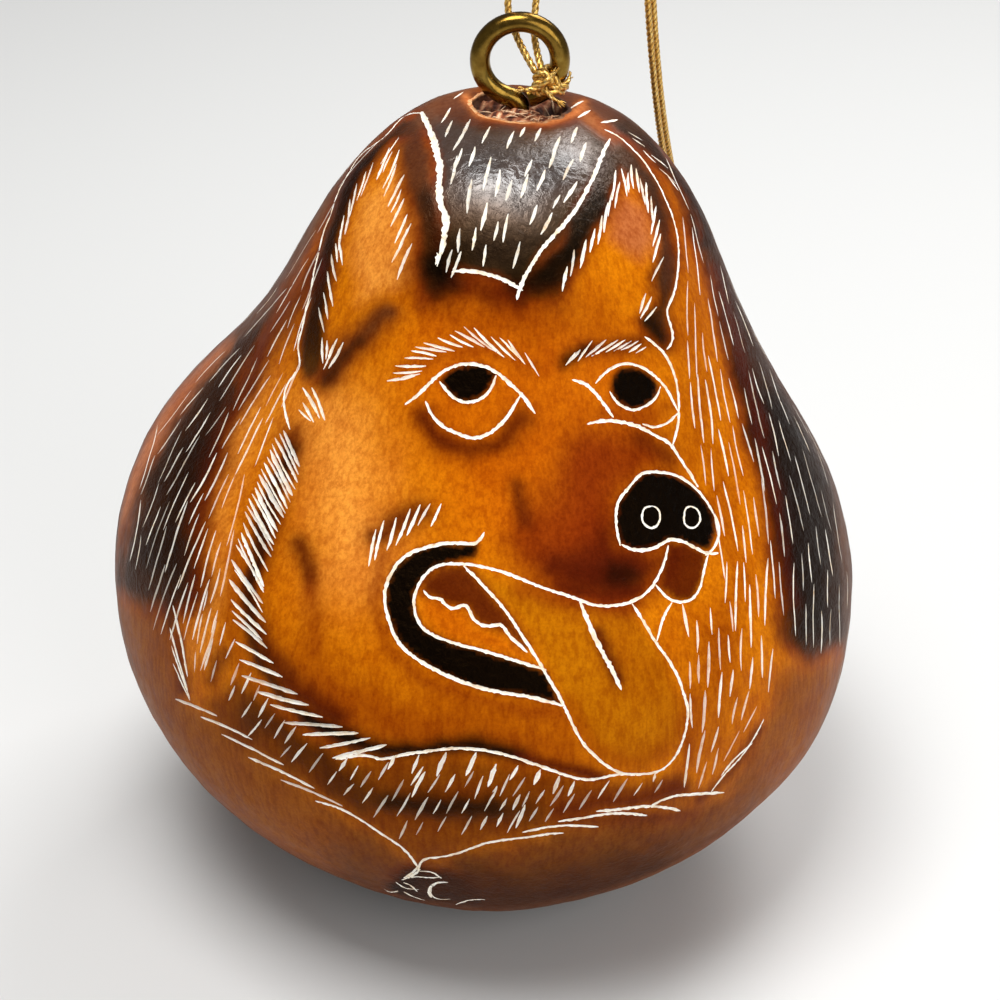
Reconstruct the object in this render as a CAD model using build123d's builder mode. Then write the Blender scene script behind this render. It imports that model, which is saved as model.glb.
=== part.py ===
from build123d import *
from math import cos, pi, radians, sin, sqrt, tan
import os

# Carved gourd ornament: a leaning pear-shaped gourd with a brass screw eye, a gold cord loop
# knotted round the ring, and loose seeds inside.
# Millimetres, +Z up, the carved front towards -Y, the origin on the middle of the flat seat.

# Gourd shell
belly_radius = 32.0
foot_reach = 28.9
seat_flattening = 0.9
crown_reach = 42.4
lean_angle = 4.9
wall_thickness = 2.6
crown_thickness = 8.0
rim_round = 0.5

# Outer profile, as shares of belly_radius and of foot_reach or crown_reach from the belly's middle
foot_shares = [(0.400, 0.918), (0.729, 0.680), (0.954, 0.334)]
neck_shares = [
    (0.943, 0.191),
    (0.806, 0.351),
    (0.694, 0.468),
    (0.594, 0.610),
    (0.476, 0.790),
    (0.280, 0.954),
]

# Where the cavity follows the wall, as shares of the outer profile's length from the foot
hollow_shares = [0, 0.1, 0.2, 0.3, 0.4, 0.5, 0.6, 0.7]

# Stem hole and the corky stub in it
stem_hole_radius = 3.75
stem_drift = -0.9
stem_set_back = 1.0
recess_depth = 0.85
plug_length = 8.0
plug_clearance = 0.04
plug_taper = 0.35
plug_edge_round = 0.3

# Brass screw eye
wire_radius = 0.8
ring_radius = 3.15
ring_rise = 3.4
foot_bend_radius = 1.2
ring_end_angle = -77.0
shank_length = 7.6
thread_length = 5.4
thread_pitch = 0.75
thread_depth = 0.2
tip_length = 0.9

# Gold cord and its knot
cord_radius = 0.3
wrap_gap = 0.12
wrap_count = 2
wrap_pitch = 0.56
knot_angle = -34.0
knot_radius = 0.88
knot_inset = 1.25
knot_front = 1.3
knot_band_radius = 0.62
knot_band_way = (-0.5, 0.5, 0.7)
tail_angles = [207.0, -25.0]
tail_lengths = [1.65, 2.3]
tail_lean = 0.35

# How much of the shorter run beside it each arc of the cord's route takes up
arc_share = 0.45

# Seeds
seed_length = 8.4
seed_width = 4.4
seed_thickness = 1.8
seed_tip_width = 2.4
seed_edge_round = 0.6
seed_gap = 0.4
middle_seed_count = 2
middle_seed_share = 0.05
ring_seed_count = 10
ring_seed_share = 0.14
ring_seed_turn = 11.0

# Cut solids run past the walls they cut by this much
overrun = 2.0

# A smooth profile leaves its poles level, at the speed that its chords have
pole_tangents = ((1, 0), (-1, 0))
pole_speeds = (1, 1)

# Cord route, chosen by hand: up behind the ring, over, down behind the gourd, round and back
cord_route = [
    (3.95, 0.15, 73.00),
    (1.80, 2.60, 75.80),
    (1.75, 3.30, 79.10),
    (1.85, 3.90, 83.40),
    (3.70, 4.20, 88.30),
    (8.10, 5.40, 90.00),
    (11.70, 6.50, 86.00),
    (12.75, 7.60, 79.20),
    (13.40, 8.90, 72.20),
    (14.50, 12.20, 63.60),
    (16.20, 18.40, 54.60),
    (18.00, 25.00, 44.00),
    (19.20, 29.60, 33.00),
    (19.60, 31.40, 22.00),
    (19.20, 31.50, 14.00),
    (17.40, 31.60, 9.70),
    (18.60, 31.70, 7.60),
    (20.80, 31.80, 7.50),
    (22.20, 31.80, 9.50),
    (20.20, 32.00, 13.80),
    (20.30, 32.30, 22.20),
    (19.85, 30.60, 33.10),
    (18.60, 26.10, 44.00),
    (16.75, 19.40, 54.40),
    (15.00, 13.10, 63.40),
    (13.85, 9.75, 72.00),
    (13.25, 8.40, 79.00),
    (12.10, 7.20, 84.60),
    (9.30, 6.10, 88.00),
    (5.90, 5.00, 86.40),
    (4.30, 4.40, 81.60),
    (3.95, 3.60, 77.20),
    (3.75, 2.25, 74.75),
    (4.45, 0.05, 73.20),
]

os.makedirs("parts", exist_ok=True)

# Frames that the pieces share
lean_x = (cos(radians(lean_angle)), 0, -sin(radians(lean_angle)))
lean_z = (sin(radians(lean_angle)), 0, cos(radians(lean_angle)))
belly_height = foot_reach - seat_flattening
belly_middle = Vector(0, 0, belly_height)
profile_plane = Plane(origin=belly_middle, x_dir=lean_x, z_dir=(0, -1, 0))
gourd_axis = Axis(belly_middle, lean_z)
crown = belly_middle + Vector(*lean_z) * crown_reach
stem_x = crown.X + stem_drift
stem_axis = Axis((stem_x, stem_set_back, 0), (0, 0, 1))
stem_plane = Plane.XZ.offset(-stem_set_back)
ring_middle = Vector(stem_x, stem_set_back, crown.Z + ring_rise)
plug_top = crown.Z - recess_depth
shank_top = ring_middle.Z - sqrt(ring_radius ** 2 + 2 * ring_radius * foot_bend_radius)
front_plane = Plane(origin=ring_middle, x_dir=(1, 0, 0), z_dir=(0, -1, 0))


def outer_points():
    """Points of the outer profile, from the foot pole up to the crown pole."""
    points = [(0, -foot_reach)]
    points += [(r * belly_radius, -z * foot_reach) for r, z in foot_shares]
    points += [(belly_radius, 0)]
    points += [(r * belly_radius, z * crown_reach) for r, z in neck_shares]
    return points + [(0, crown_reach)]


def cavity_points():
    """The outer profile moved in by the wall, up to where the thick crown closes the hollow."""
    outer = Spline(*outer_outline, tangents=pole_tangents, tangent_scalars=pole_speeds)
    inner = []
    for share in hollow_shares:
        spot = outer @ share
        along = outer % share
        inner.append((spot.X - along.Y * wall_thickness, spot.Y + along.X * wall_thickness))
    return inner + [(0, crown_reach - crown_thickness)]


outer_outline = outer_points()
cavity_outline = cavity_points()


def lathe_face(points):
    """The face between a smooth profile and the gourd's axis, on the profile plane."""
    with BuildSketch(profile_plane) as sketch:
        with BuildLine():
            Spline(*points, tangents=pole_tangents, tangent_scalars=pole_speeds)
            Line(points[-1], points[0])
        make_face()
    return sketch.sketch


# Gourd shell
with BuildPart() as gourd_shell:
    add(lathe_face(outer_outline))
    revolve(axis=gourd_axis)
    add(lathe_face(cavity_outline))
    revolve(axis=gourd_axis, mode=Mode.SUBTRACT)
    with BuildSketch(Plane.XY.offset(crown.Z + overrun)):
        with Locations((stem_x, stem_set_back)):
            Circle(stem_hole_radius)
    extrude(amount=-(crown_thickness + 2 * overrun), mode=Mode.SUBTRACT)
    split(bisect_by=Plane.XY, keep=Keep.TOP)
    fillet(gourd_shell.edges().sort_by(Axis.Z)[-1], radius=rim_round)
gourd_shell.part.label = "gourd_shell"

# Stem plug, tapered below, with a pilot hole that the screw's thread bites into
with BuildPart() as stem_plug:
    with BuildSketch(stem_plane):
        with BuildLine():
            plug_radius = stem_hole_radius - plug_clearance
            Polyline(
                (stem_x + wire_radius - thread_depth, plug_top),
                (stem_x + plug_radius, plug_top),
                (stem_x + plug_radius, crown.Z - crown_thickness),
                (stem_x + plug_radius - plug_taper, plug_top - plug_length),
                (stem_x + wire_radius - thread_depth, plug_top - plug_length),
                close=True,
            )
        make_face()
    revolve(axis=stem_axis)
    top_edges = stem_plug.edges().filter_by(GeomType.CIRCLE).group_by(Axis.Z)[-1]
    fillet(top_edges.sort_by(SortBy.RADIUS)[-1], radius=plug_edge_round)
stem_plug.part.label = "stem_plug"


def thread_points():
    """Half outline of the threaded shank, from its plain top down to the pointed tip."""
    root_radius = wire_radius - thread_depth
    bottom = shank_top - shank_length
    points = [(0, shank_top), (wire_radius, shank_top), (wire_radius, bottom + thread_length)]
    turns = int((thread_length - tip_length) / thread_pitch)
    for turn in range(turns):
        crest = bottom + thread_length - turn * thread_pitch
        points.append((root_radius, crest - thread_pitch / 2))
        points.append((wire_radius, crest - thread_pitch))
    return points + [(root_radius, bottom + tip_length), (0, bottom)]


# Screw eye: ring wire that closes against its shank, which is threaded below
with BuildPart() as screw_eye:
    with BuildLine(front_plane) as ring_path:
        bend_middle = (-foot_bend_radius, shank_top - ring_middle.Z)
        ring_share = ring_radius / (ring_radius + foot_bend_radius)
        ring_start = (bend_middle[0] * ring_share, bend_middle[1] * ring_share)
        ring_end = (ring_radius * cos(radians(ring_end_angle)), ring_radius * sin(radians(ring_end_angle)))
        TangentArc((0, bend_middle[1]), ring_start, tangent=(0, 1))
        ThreePointArc(ring_start, (0, ring_radius), ring_end)
    with BuildSketch(Plane(origin=(stem_x, stem_set_back, shank_top), z_dir=(0, 0, 1))):
        Circle(wire_radius)
    sweep(path=ring_path.wires()[0])
    with BuildSketch(stem_plane):
        with BuildLine():
            Polyline(*[(stem_x + r, z) for r, z in thread_points()], close=True)
        make_face()
    revolve(axis=stem_axis)
screw_eye.part.label = "screw_eye"


def ring_way(angle):
    """The direction from the ring's middle at this angle, seen from the front."""
    return Vector(cos(radians(angle)), 0, sin(radians(angle)))


# Cord knot: wraps round the ring wire, a lump in front of it and two short tails
wrap_middle = ring_middle + ring_way(knot_angle) * ring_radius
lump_middle = ring_middle + ring_way(knot_angle) * (ring_radius - knot_inset) + Vector(0, -knot_front, 0)
with BuildPart() as cord_knot:
    with BuildSketch(Plane(origin=wrap_middle, x_dir=ring_way(knot_angle + 90), z_dir=(0, -1, 0))):
        for turn in range(wrap_count):
            along_wire = (turn - (wrap_count - 1) / 2) * wrap_pitch
            with Locations((along_wire, wire_radius + wrap_gap + cord_radius)):
                Circle(cord_radius)
    revolve(axis=Axis(wrap_middle, ring_way(knot_angle + 90)))
    with Locations(Plane(origin=lump_middle, z_dir=knot_band_way)):
        Sphere(knot_radius - cord_radius / 2)
        Torus(knot_band_radius, cord_radius)
    for tail_angle, tail_length in zip(tail_angles, tail_lengths):
        tail_way = Vector(cos(radians(tail_angle)), -tail_lean, sin(radians(tail_angle)))
        with BuildSketch(Plane(origin=lump_middle, z_dir=tail_way)):
            Circle(cord_radius)
        extrude(amount=tail_length)
cord_knot.part.label = "cord_knot"


def corner_radius(before, corner, after):
    """The largest arc that two runs of the route allow at the corner between them."""
    run_in = corner - before
    run_out = after - corner
    half_turn = run_in.get_angle(run_out) / 2
    return arc_share * min(run_in.length, run_out.length) / tan(radians(half_turn))


# Hanging loop: one tube along the whole route
route = [Vector(*point) for point in cord_route]
radii = [corner_radius(*triple) for triple in zip(route, route[1:], route[2:])]
with BuildPart() as hanging_loop:
    with BuildLine() as loop_path:
        FilletPolyline(*route, radius=radii)
    loop_wire = loop_path.wires()[0]
    with BuildSketch(Plane(origin=loop_wire @ 0, z_dir=loop_wire % 0)):
        Circle(cord_radius)
    sweep(path=loop_wire)
hanging_loop.part.label = "hanging_loop"
print("cord radii", [round(radius, 2) for radius in radii])
print("cord length", round(loop_wire.length, 2))
print("tube volume", round(hanging_loop.part.volume, 3),
      "section times length", round(pi * cord_radius ** 2 * loop_wire.length, 3))

# Seeds on the cavity floor
cavity_edge = Spline(*cavity_outline, tangents=pole_tangents, tangent_scalars=pole_speeds)


def turned(vector, angle):
    """A direction turned about the gourd's axis."""
    return vector.rotate(Axis((0, 0, 0), lean_z), angle)


def seed_plane(share, angle, across):
    """The plane under a seed that lies on the cavity wall at this share of its profile."""
    wall_spot = profile_plane.from_local_coords(cavity_edge @ share)
    wall_ahead = profile_plane.from_local_coords(cavity_edge @ share + cavity_edge % share)
    spot = turned(wall_spot - belly_middle, angle) + belly_middle
    uphill = turned(wall_ahead - wall_spot, angle)
    sideways = turned(Vector(0, 1, 0), angle)
    inward = uphill.cross(sideways)
    return Plane(origin=spot + inward * seed_gap, x_dir=sideways if across else uphill, z_dir=inward)


def make_seed(name, plane):
    """One flat seed with a broad end and a narrow end, written to its own file."""
    broad = seed_width / 2
    narrow = seed_tip_width / 2
    with BuildPart() as seed:
        with BuildSketch(plane):
            with Locations((seed_length / 2 - broad, 0)):
                Circle(broad)
            with Locations((narrow - seed_length / 2, 0)):
                Circle(narrow)
            make_hull()
        extrude(amount=seed_thickness)
        fillet(seed.edges(), radius=seed_edge_round)
    seed.part.label = name
    export_step(seed.part, f"parts/{name}.step")


seed_planes = []
for k in range(middle_seed_count):
    seed_planes.append(seed_plane(middle_seed_share, 360 / middle_seed_count * k, True))
for k in range(ring_seed_count):
    seed_planes.append(seed_plane(ring_seed_share, 360 / ring_seed_count * k + ring_seed_turn, False))
for number, plane in enumerate(seed_planes, start=1):
    make_seed(f"seed_{number:02d}", plane)

for piece in (gourd_shell, stem_plug, screw_eye, cord_knot, hanging_loop):
    export_step(piece.part, f"parts/{piece.part.label}.step")
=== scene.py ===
import math
import random

import bpy
import numpy as np
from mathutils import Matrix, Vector, kdtree
from mathutils.geometry import delaunay_2d_cdt


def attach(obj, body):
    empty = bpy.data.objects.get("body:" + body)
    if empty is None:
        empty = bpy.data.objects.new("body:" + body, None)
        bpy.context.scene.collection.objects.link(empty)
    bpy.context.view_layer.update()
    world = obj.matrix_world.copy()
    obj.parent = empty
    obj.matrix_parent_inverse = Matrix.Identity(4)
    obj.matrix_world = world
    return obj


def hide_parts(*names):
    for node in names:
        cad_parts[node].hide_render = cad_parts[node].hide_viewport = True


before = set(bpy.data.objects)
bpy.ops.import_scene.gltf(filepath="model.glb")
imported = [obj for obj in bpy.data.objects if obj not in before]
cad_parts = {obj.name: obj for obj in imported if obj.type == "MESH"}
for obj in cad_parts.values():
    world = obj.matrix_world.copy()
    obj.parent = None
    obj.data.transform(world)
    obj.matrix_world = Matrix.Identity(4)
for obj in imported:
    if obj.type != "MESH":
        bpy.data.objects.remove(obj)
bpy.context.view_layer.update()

# Carved gourd ornament. Lengths are millimetres until a mesh is made, and angles are degrees
# where a name says so. The engraving is given in pixels of the 1000 by 1000 photograph
# and laid on the gourd through the photograph's own camera.
chance = random.Random(7)
MM = 0.001

# Gourd, in the sizes that the solid has
BELLY_RADIUS = 32.0
BELLY_HEIGHT = 28.0
FOOT_REACH = 28.9
CROWN_REACH = 42.4
LEAN_DEG = 4.9
WALL = 2.6
CROWN_THICKNESS = 8.0
FOOT_SHARES = [(0.400, 0.918), (0.729, 0.680), (0.954, 0.334)]
NECK_SHARES = [
    (0.943, 0.191),
    (0.806, 0.351),
    (0.694, 0.468),
    (0.594, 0.610),
    (0.476, 0.790),
    (0.280, 0.954),
]
CENTRE = np.array([0.0, 0.0, BELLY_HEIGHT])
LEAN_SIN = math.sin(math.radians(LEAN_DEG))
LEAN_COS = math.cos(math.radians(LEAN_DEG))

# Where the dried fruit is not quite round: turn from +X, rise above the belly, spread, height
SWELLINGS = {
    "right flank": (-14, 40, 13, 1.0),
    "right belly": (-12, 14, 13, -0.42),
    "right low belly": (-20, -14, 20, 0.2),
    "right neck": (-12, 62, 11, -0.45),
    "left flank": (186, 48, 11, -0.25),
    "left belly": (185, 18, 18, 0.2),
    "left low belly": (-140, -34, 18, -0.08),
    "front foot": (-80, -42, 16, 0.2),
    "front foot right": (-40, -34, 14, -0.15),
}

# Stem hole in the crown
STEM_RADIUS = 3.75
STEM_DRIFT = -0.9
STEM_Y = 1.0
RECESS = 0.85
PLUG_LENGTH = 8.0
CROWN = CENTRE + CROWN_REACH * np.array([LEAN_SIN, 0.0, LEAN_COS])
STEM_X = CROWN[0] + STEM_DRIFT
PLUG_TOP = CROWN[2] - RECESS

# Screw eye's ring, and where the cord is knotted on it
RING_MIDDLE = np.array([STEM_X, STEM_Y, CROWN[2] + 3.4])
RING_RADIUS = 3.15
WIRE_RADIUS = 0.8
KNOT_DEG = -34.0

# Cord, and its route: up behind the ring, over, down behind the gourd and back
CORD_DIAMETER = 0.6
CORD_ROUTE = [
    (3.95, 0.15, 73.00),
    (1.80, 2.60, 75.80),
    (1.75, 3.30, 79.10),
    (1.85, 3.90, 83.40),
    (3.70, 4.20, 88.30),
    (8.10, 5.40, 90.00),
    (11.70, 6.50, 86.00),
    (12.75, 7.60, 79.20),
    (13.40, 8.90, 72.20),
    (14.50, 12.20, 63.60),
    (16.20, 18.40, 54.60),
    (18.00, 25.00, 44.00),
    (19.20, 29.60, 33.00),
    (19.60, 31.40, 22.00),
    (19.20, 31.50, 14.00),
    (17.40, 31.60, 9.70),
    (18.60, 31.70, 7.60),
    (20.80, 31.80, 7.50),
    (22.20, 31.80, 9.50),
    (20.20, 32.00, 13.80),
    (20.30, 32.30, 22.20),
    (19.85, 30.60, 33.10),
    (18.60, 26.10, 44.00),
    (16.75, 19.40, 54.40),
    (15.00, 13.10, 63.40),
    (13.85, 9.75, 72.00),
    (13.25, 8.40, 79.00),
    (12.10, 7.20, 84.60),
    (9.30, 6.10, 88.00),
    (5.90, 5.00, 86.40),
    (4.30, 4.40, 81.60),
    (3.95, 3.60, 77.20),
    (3.75, 2.25, 74.75),
    (4.45, 0.05, 73.20),
]

# Camera of the photograph, fitted to the outline
VIEW_DISTANCE = 220.0
VIEW_RISE_DEG = 30.68
VIEW_TARGET = np.array([1.154, 0.0, 34.036])
PICTURE_SIZE = 1000
FOCAL_PIXELS = 2553.0
SENSOR_WIDTH = 36.0
RISE = math.radians(VIEW_RISE_DEG)
VIEW_AHEAD = np.array([0.0, math.cos(RISE), -math.sin(RISE)])
VIEW_UP = np.array([0.0, math.sin(RISE), math.cos(RISE)])
VIEW_RIGHT = np.array([1.0, 0.0, 0.0])
VIEW_PLACE = VIEW_TARGET - VIEW_DISTANCE * VIEW_AHEAD
# The face is nearer to the camera than the gourd's middle, by this share of the belly's radius
FACE_NEARER = 0.7
PIXELS_PER_MM = FOCAL_PIXELS / (VIEW_DISTANCE - BELLY_RADIUS * FACE_NEARER)
LOOK_REACH = 55.0
LOOK_STEPS = 56
LOOK_HALVINGS = 24


# Curves through points


def curve_through(points, start_slope=None, end_slope=None, per_span=24):
    """Points of the smooth curve through the given ones, with the slopes wanted at its ends."""
    p = np.array(points, float)
    n = len(p)
    if n == 2:
        return p[0] + (p[1] - p[0]) * np.linspace(0, 1, per_span + 1)[:, None]
    h = np.linalg.norm(np.diff(p, axis=0), axis=1)
    system = np.zeros((n, n))
    wanted = np.zeros(p.shape)
    for k in range(1, n - 1):
        system[k, k - 1] = 1 / h[k - 1]
        system[k, k] = 2 / h[k - 1] + 2 / h[k]
        system[k, k + 1] = 1 / h[k]
        wanted[k] = 3 * ((p[k] - p[k - 1]) / h[k - 1] ** 2 + (p[k + 1] - p[k]) / h[k] ** 2)
    for row, beside, slope, span in ((0, 1, start_slope, 0), (n - 1, n - 2, end_slope, n - 2)):
        system[row, row] = 1 if slope else 2
        system[row, beside] = 0 if slope else 1
        wanted[row] = slope if slope else 3 * (p[span + 1] - p[span]) / h[span]
    slopes = np.linalg.solve(system, wanted)
    t = np.linspace(0, 1, per_span, endpoint=False)[:, None]
    spans = []
    for k in range(n - 1):
        rise = 3 * t ** 2 - 2 * t ** 3
        leave = (t - 2 * t ** 2 + t ** 3) * h[k]
        arrive = (t ** 3 - t ** 2) * h[k]
        spans.append(p[k] + rise * (p[k + 1] - p[k]) + leave * slopes[k] + arrive * slopes[k + 1])
    return np.vstack(spans + [p[-1:]])


def walked(points):
    """How far along a line each of its points is."""
    return np.concatenate([[0], np.cumsum(np.linalg.norm(np.diff(points, axis=0), axis=1))])


def evenly(points, step):
    """The same line with points about this far apart."""
    along = walked(points)
    count = max(int(round(along[-1] / step)), 2)
    wanted = np.linspace(0, along[-1], count + 1)
    return np.stack([np.interp(wanted, along, points[:, k]) for k in range(points.shape[1])], 1)


def full_turn(count):
    """This many even turns round a circle."""
    return np.arange(count) * 2 * math.pi / count


def left_of(way):
    """A flat direction turned a quarter to the left."""
    return np.array([-way[1], way[0]])


def pairs_round(loop):
    """Each item of a closed loop with the one after it."""
    return list(zip(loop, loop[1:] + loop[:1]))


def ring_of(start, count):
    """Numbers of a ring's points, from its first."""
    return list(range(start, start + count))


def tube(rings):
    """Faces that join each ring of points to the next one."""
    faces = []
    for low, high in zip(rings, rings[1:]):
        faces += [(a, b, d, c) for (a, b), (c, d) in zip(pairs_round(low), pairs_round(high))]
    return faces


# Unevenness, a sum of waves

WAVE_COUNT = 7
WAVE_PITCHES = (0.7, 1.5)
WAVE_PHASE = 6.3
WAVE_LEVEL = 4.2


def wobble(places, size, seed):
    """Smooth unevenness from -1 to 1, with lumps about this size."""
    source = np.random.default_rng(seed)
    total = np.zeros(len(places))
    for _ in range(WAVE_COUNT):
        way = source.normal(size=places.shape[1])
        way *= source.uniform(*WAVE_PITCHES) / np.linalg.norm(way)
        total += np.sin(places @ way * (math.pi / size) + source.uniform(0, WAVE_PHASE))
    return total / WAVE_LEVEL


def rough(places, layers):
    """Unevenness in layers, each a height, a lump size and a seed."""
    return sum(height * wobble(places, size, seed) for height, size, seed in layers)


# Shape of the gourd

outer_profile = [(0, -FOOT_REACH)]
outer_profile += [(r * BELLY_RADIUS, -z * FOOT_REACH) for r, z in FOOT_SHARES]
outer_profile += [(BELLY_RADIUS, 0)]
outer_profile += [(r * BELLY_RADIUS, z * CROWN_REACH) for r, z in NECK_SHARES]
outer_profile += [(0, CROWN_REACH)]
profile = curve_through(outer_profile, (1, 0), (-1, 0), per_span=60)
profile_rise = np.arctan2(profile[:, 1], np.maximum(profile[:, 0], 0))
profile_reach = np.hypot(profile[:, 0], profile[:, 1])

# A flat map of the skin round the crown that keeps every small shape: its radius grows so that
# the map's scale is the same along the profile and round it
MAP_RISE_DEG = (-88.5, 89.8)
MAP_ROWS = 3000
map_rise = np.radians(np.linspace(*MAP_RISE_DEG, MAP_ROWS))
map_reach = np.interp(map_rise, profile_rise, profile_reach)
map_ring = map_reach * np.cos(map_rise)
map_step = np.hypot(np.diff(map_reach), map_reach[:-1] * np.diff(map_rise))
map_log = np.concatenate([[0], np.cumsum(map_step / ((map_ring[:-1] + map_ring[1:]) / 2))])
map_log = math.log(map_ring[-1]) + map_log[-1] - map_log


def shape_reach(rise, turn):
    """Distance of the skin from the belly's middle in the direction of these two angles."""
    reach = np.interp(rise, profile_rise, profile_reach)
    for turn_deg, rise_deg, spread_deg, height in SWELLINGS.values():
        across = np.cos(rise) * math.cos(math.radians(rise_deg))
        cosine = np.sin(rise) * math.sin(math.radians(rise_deg))
        cosine = cosine + across * np.cos(turn - math.radians(turn_deg))
        reach = reach + height * np.exp(-(1 - cosine) / math.radians(spread_deg) ** 2)
    return reach


def from_gourd(rise, turn, reach):
    """World points from the angles about the leaning axis and the distance."""
    x = reach * np.cos(rise) * np.cos(turn)
    y = reach * np.cos(rise) * np.sin(turn)
    z = reach * np.sin(rise)
    world = np.stack([x * LEAN_COS + z * LEAN_SIN, y, z * LEAN_COS - x * LEAN_SIN], -1)
    return world + CENTRE


def to_gourd(points):
    """The angles about the leaning axis and the distance, for world points."""
    d = points - CENTRE
    x = d[:, 0] * LEAN_COS - d[:, 2] * LEAN_SIN
    z = d[:, 0] * LEAN_SIN + d[:, 2] * LEAN_COS
    ring = np.hypot(x, d[:, 1])
    return np.arctan2(z, ring), np.arctan2(d[:, 1], x), np.hypot(ring, z)


def skin_points(rise, turn):
    """World points on the smooth skin."""
    return from_gourd(rise, turn, shape_reach(rise, turn))


def skin_normals(rise, turn):
    """Outward directions of the smooth skin."""
    tiny = 1e-3
    up = skin_points(rise + tiny, turn) - skin_points(rise - tiny, turn)
    round_it = skin_points(rise, turn + tiny) - skin_points(rise, turn - tiny)
    normal = np.cross(round_it, up)
    return normal / np.maximum(np.linalg.norm(normal, axis=1), 1e-12)[:, None]


def to_map(rise, turn):
    """Flat map places of skin angles."""
    radius = np.exp(np.interp(rise, map_rise, map_log))
    return np.stack([radius * np.cos(turn), radius * np.sin(turn)], -1)


def from_map(places):
    """Skin angles of flat map places."""
    log_radius = np.log(np.maximum(np.hypot(places[:, 0], places[:, 1]), 1e-9))
    rise = np.interp(-log_radius, -map_log, map_rise)
    return rise, np.arctan2(places[:, 1], places[:, 0])


def map_scale(rise):
    """Map units per millimetre at this rise."""
    ring = np.interp(rise, map_rise, map_ring)
    return np.exp(np.interp(rise, map_rise, map_log)) / ring


# The photograph's camera


def pixels_of(points):
    """Where world points fall in the photograph."""
    d = points - VIEW_PLACE
    depth = d @ VIEW_AHEAD
    across = PICTURE_SIZE / 2 + FOCAL_PIXELS * (d @ VIEW_RIGHT) / depth
    down = PICTURE_SIZE / 2 - FOCAL_PIXELS * (d @ VIEW_UP) / depth
    return np.stack([across, down], 1)


def skin_under(pixels):
    """Skin angles under pixels of the photograph, or at the outline for pixels just past it."""
    across = (pixels[:, 0] - PICTURE_SIZE / 2) / FOCAL_PIXELS
    down = (PICTURE_SIZE / 2 - pixels[:, 1]) / FOCAL_PIXELS
    ray = VIEW_AHEAD + across[:, None] * VIEW_RIGHT + down[:, None] * VIEW_UP
    ray /= np.linalg.norm(ray, axis=1)[:, None]

    def gap_at(far):
        rise, turn, reach = to_gourd(VIEW_PLACE + ray * far[:, None])
        return reach - shape_reach(rise, turn)

    steps = VIEW_DISTANCE + np.linspace(-LOOK_REACH, LOOK_REACH, LOOK_STEPS)
    gaps = np.stack([gap_at(np.full(len(pixels), step)) for step in steps])
    hit = gaps < 0
    closest = np.where(hit.any(0), hit.argmax(0), gaps.argmin(0))
    far = steps[closest]
    near = np.where(hit.any(0), steps[np.maximum(closest - 1, 0)], far)
    for _ in range(LOOK_HALVINGS):
        middle = (near + far) / 2
        outside = gap_at(middle) > 0
        near = np.where(outside, middle, near)
        far = np.where(outside, far, middle)
    rise, turn, _ = to_gourd(VIEW_PLACE + ray * far[:, None])
    return rise, turn, hit.any(0)


def facing_camera(points, normals):
    """How squarely the skin faces the camera: 1 head on, 0 at the outline."""
    ahead = points - VIEW_PLACE
    return -np.sum(normals * ahead, 1) / np.linalg.norm(ahead, axis=1)


def longest_run(wanted):
    """The longest run of true values, as a slice."""
    best = slice(0, 0)
    start = 0
    for k in range(len(wanted) + 1):
        if k == len(wanted) or not wanted[k]:
            if k - start > best.stop - best.start:
                best = slice(start, k)
            start = k + 1
    return best


# Engraved lines: greatest width in millimetres, then the points in pixels

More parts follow.
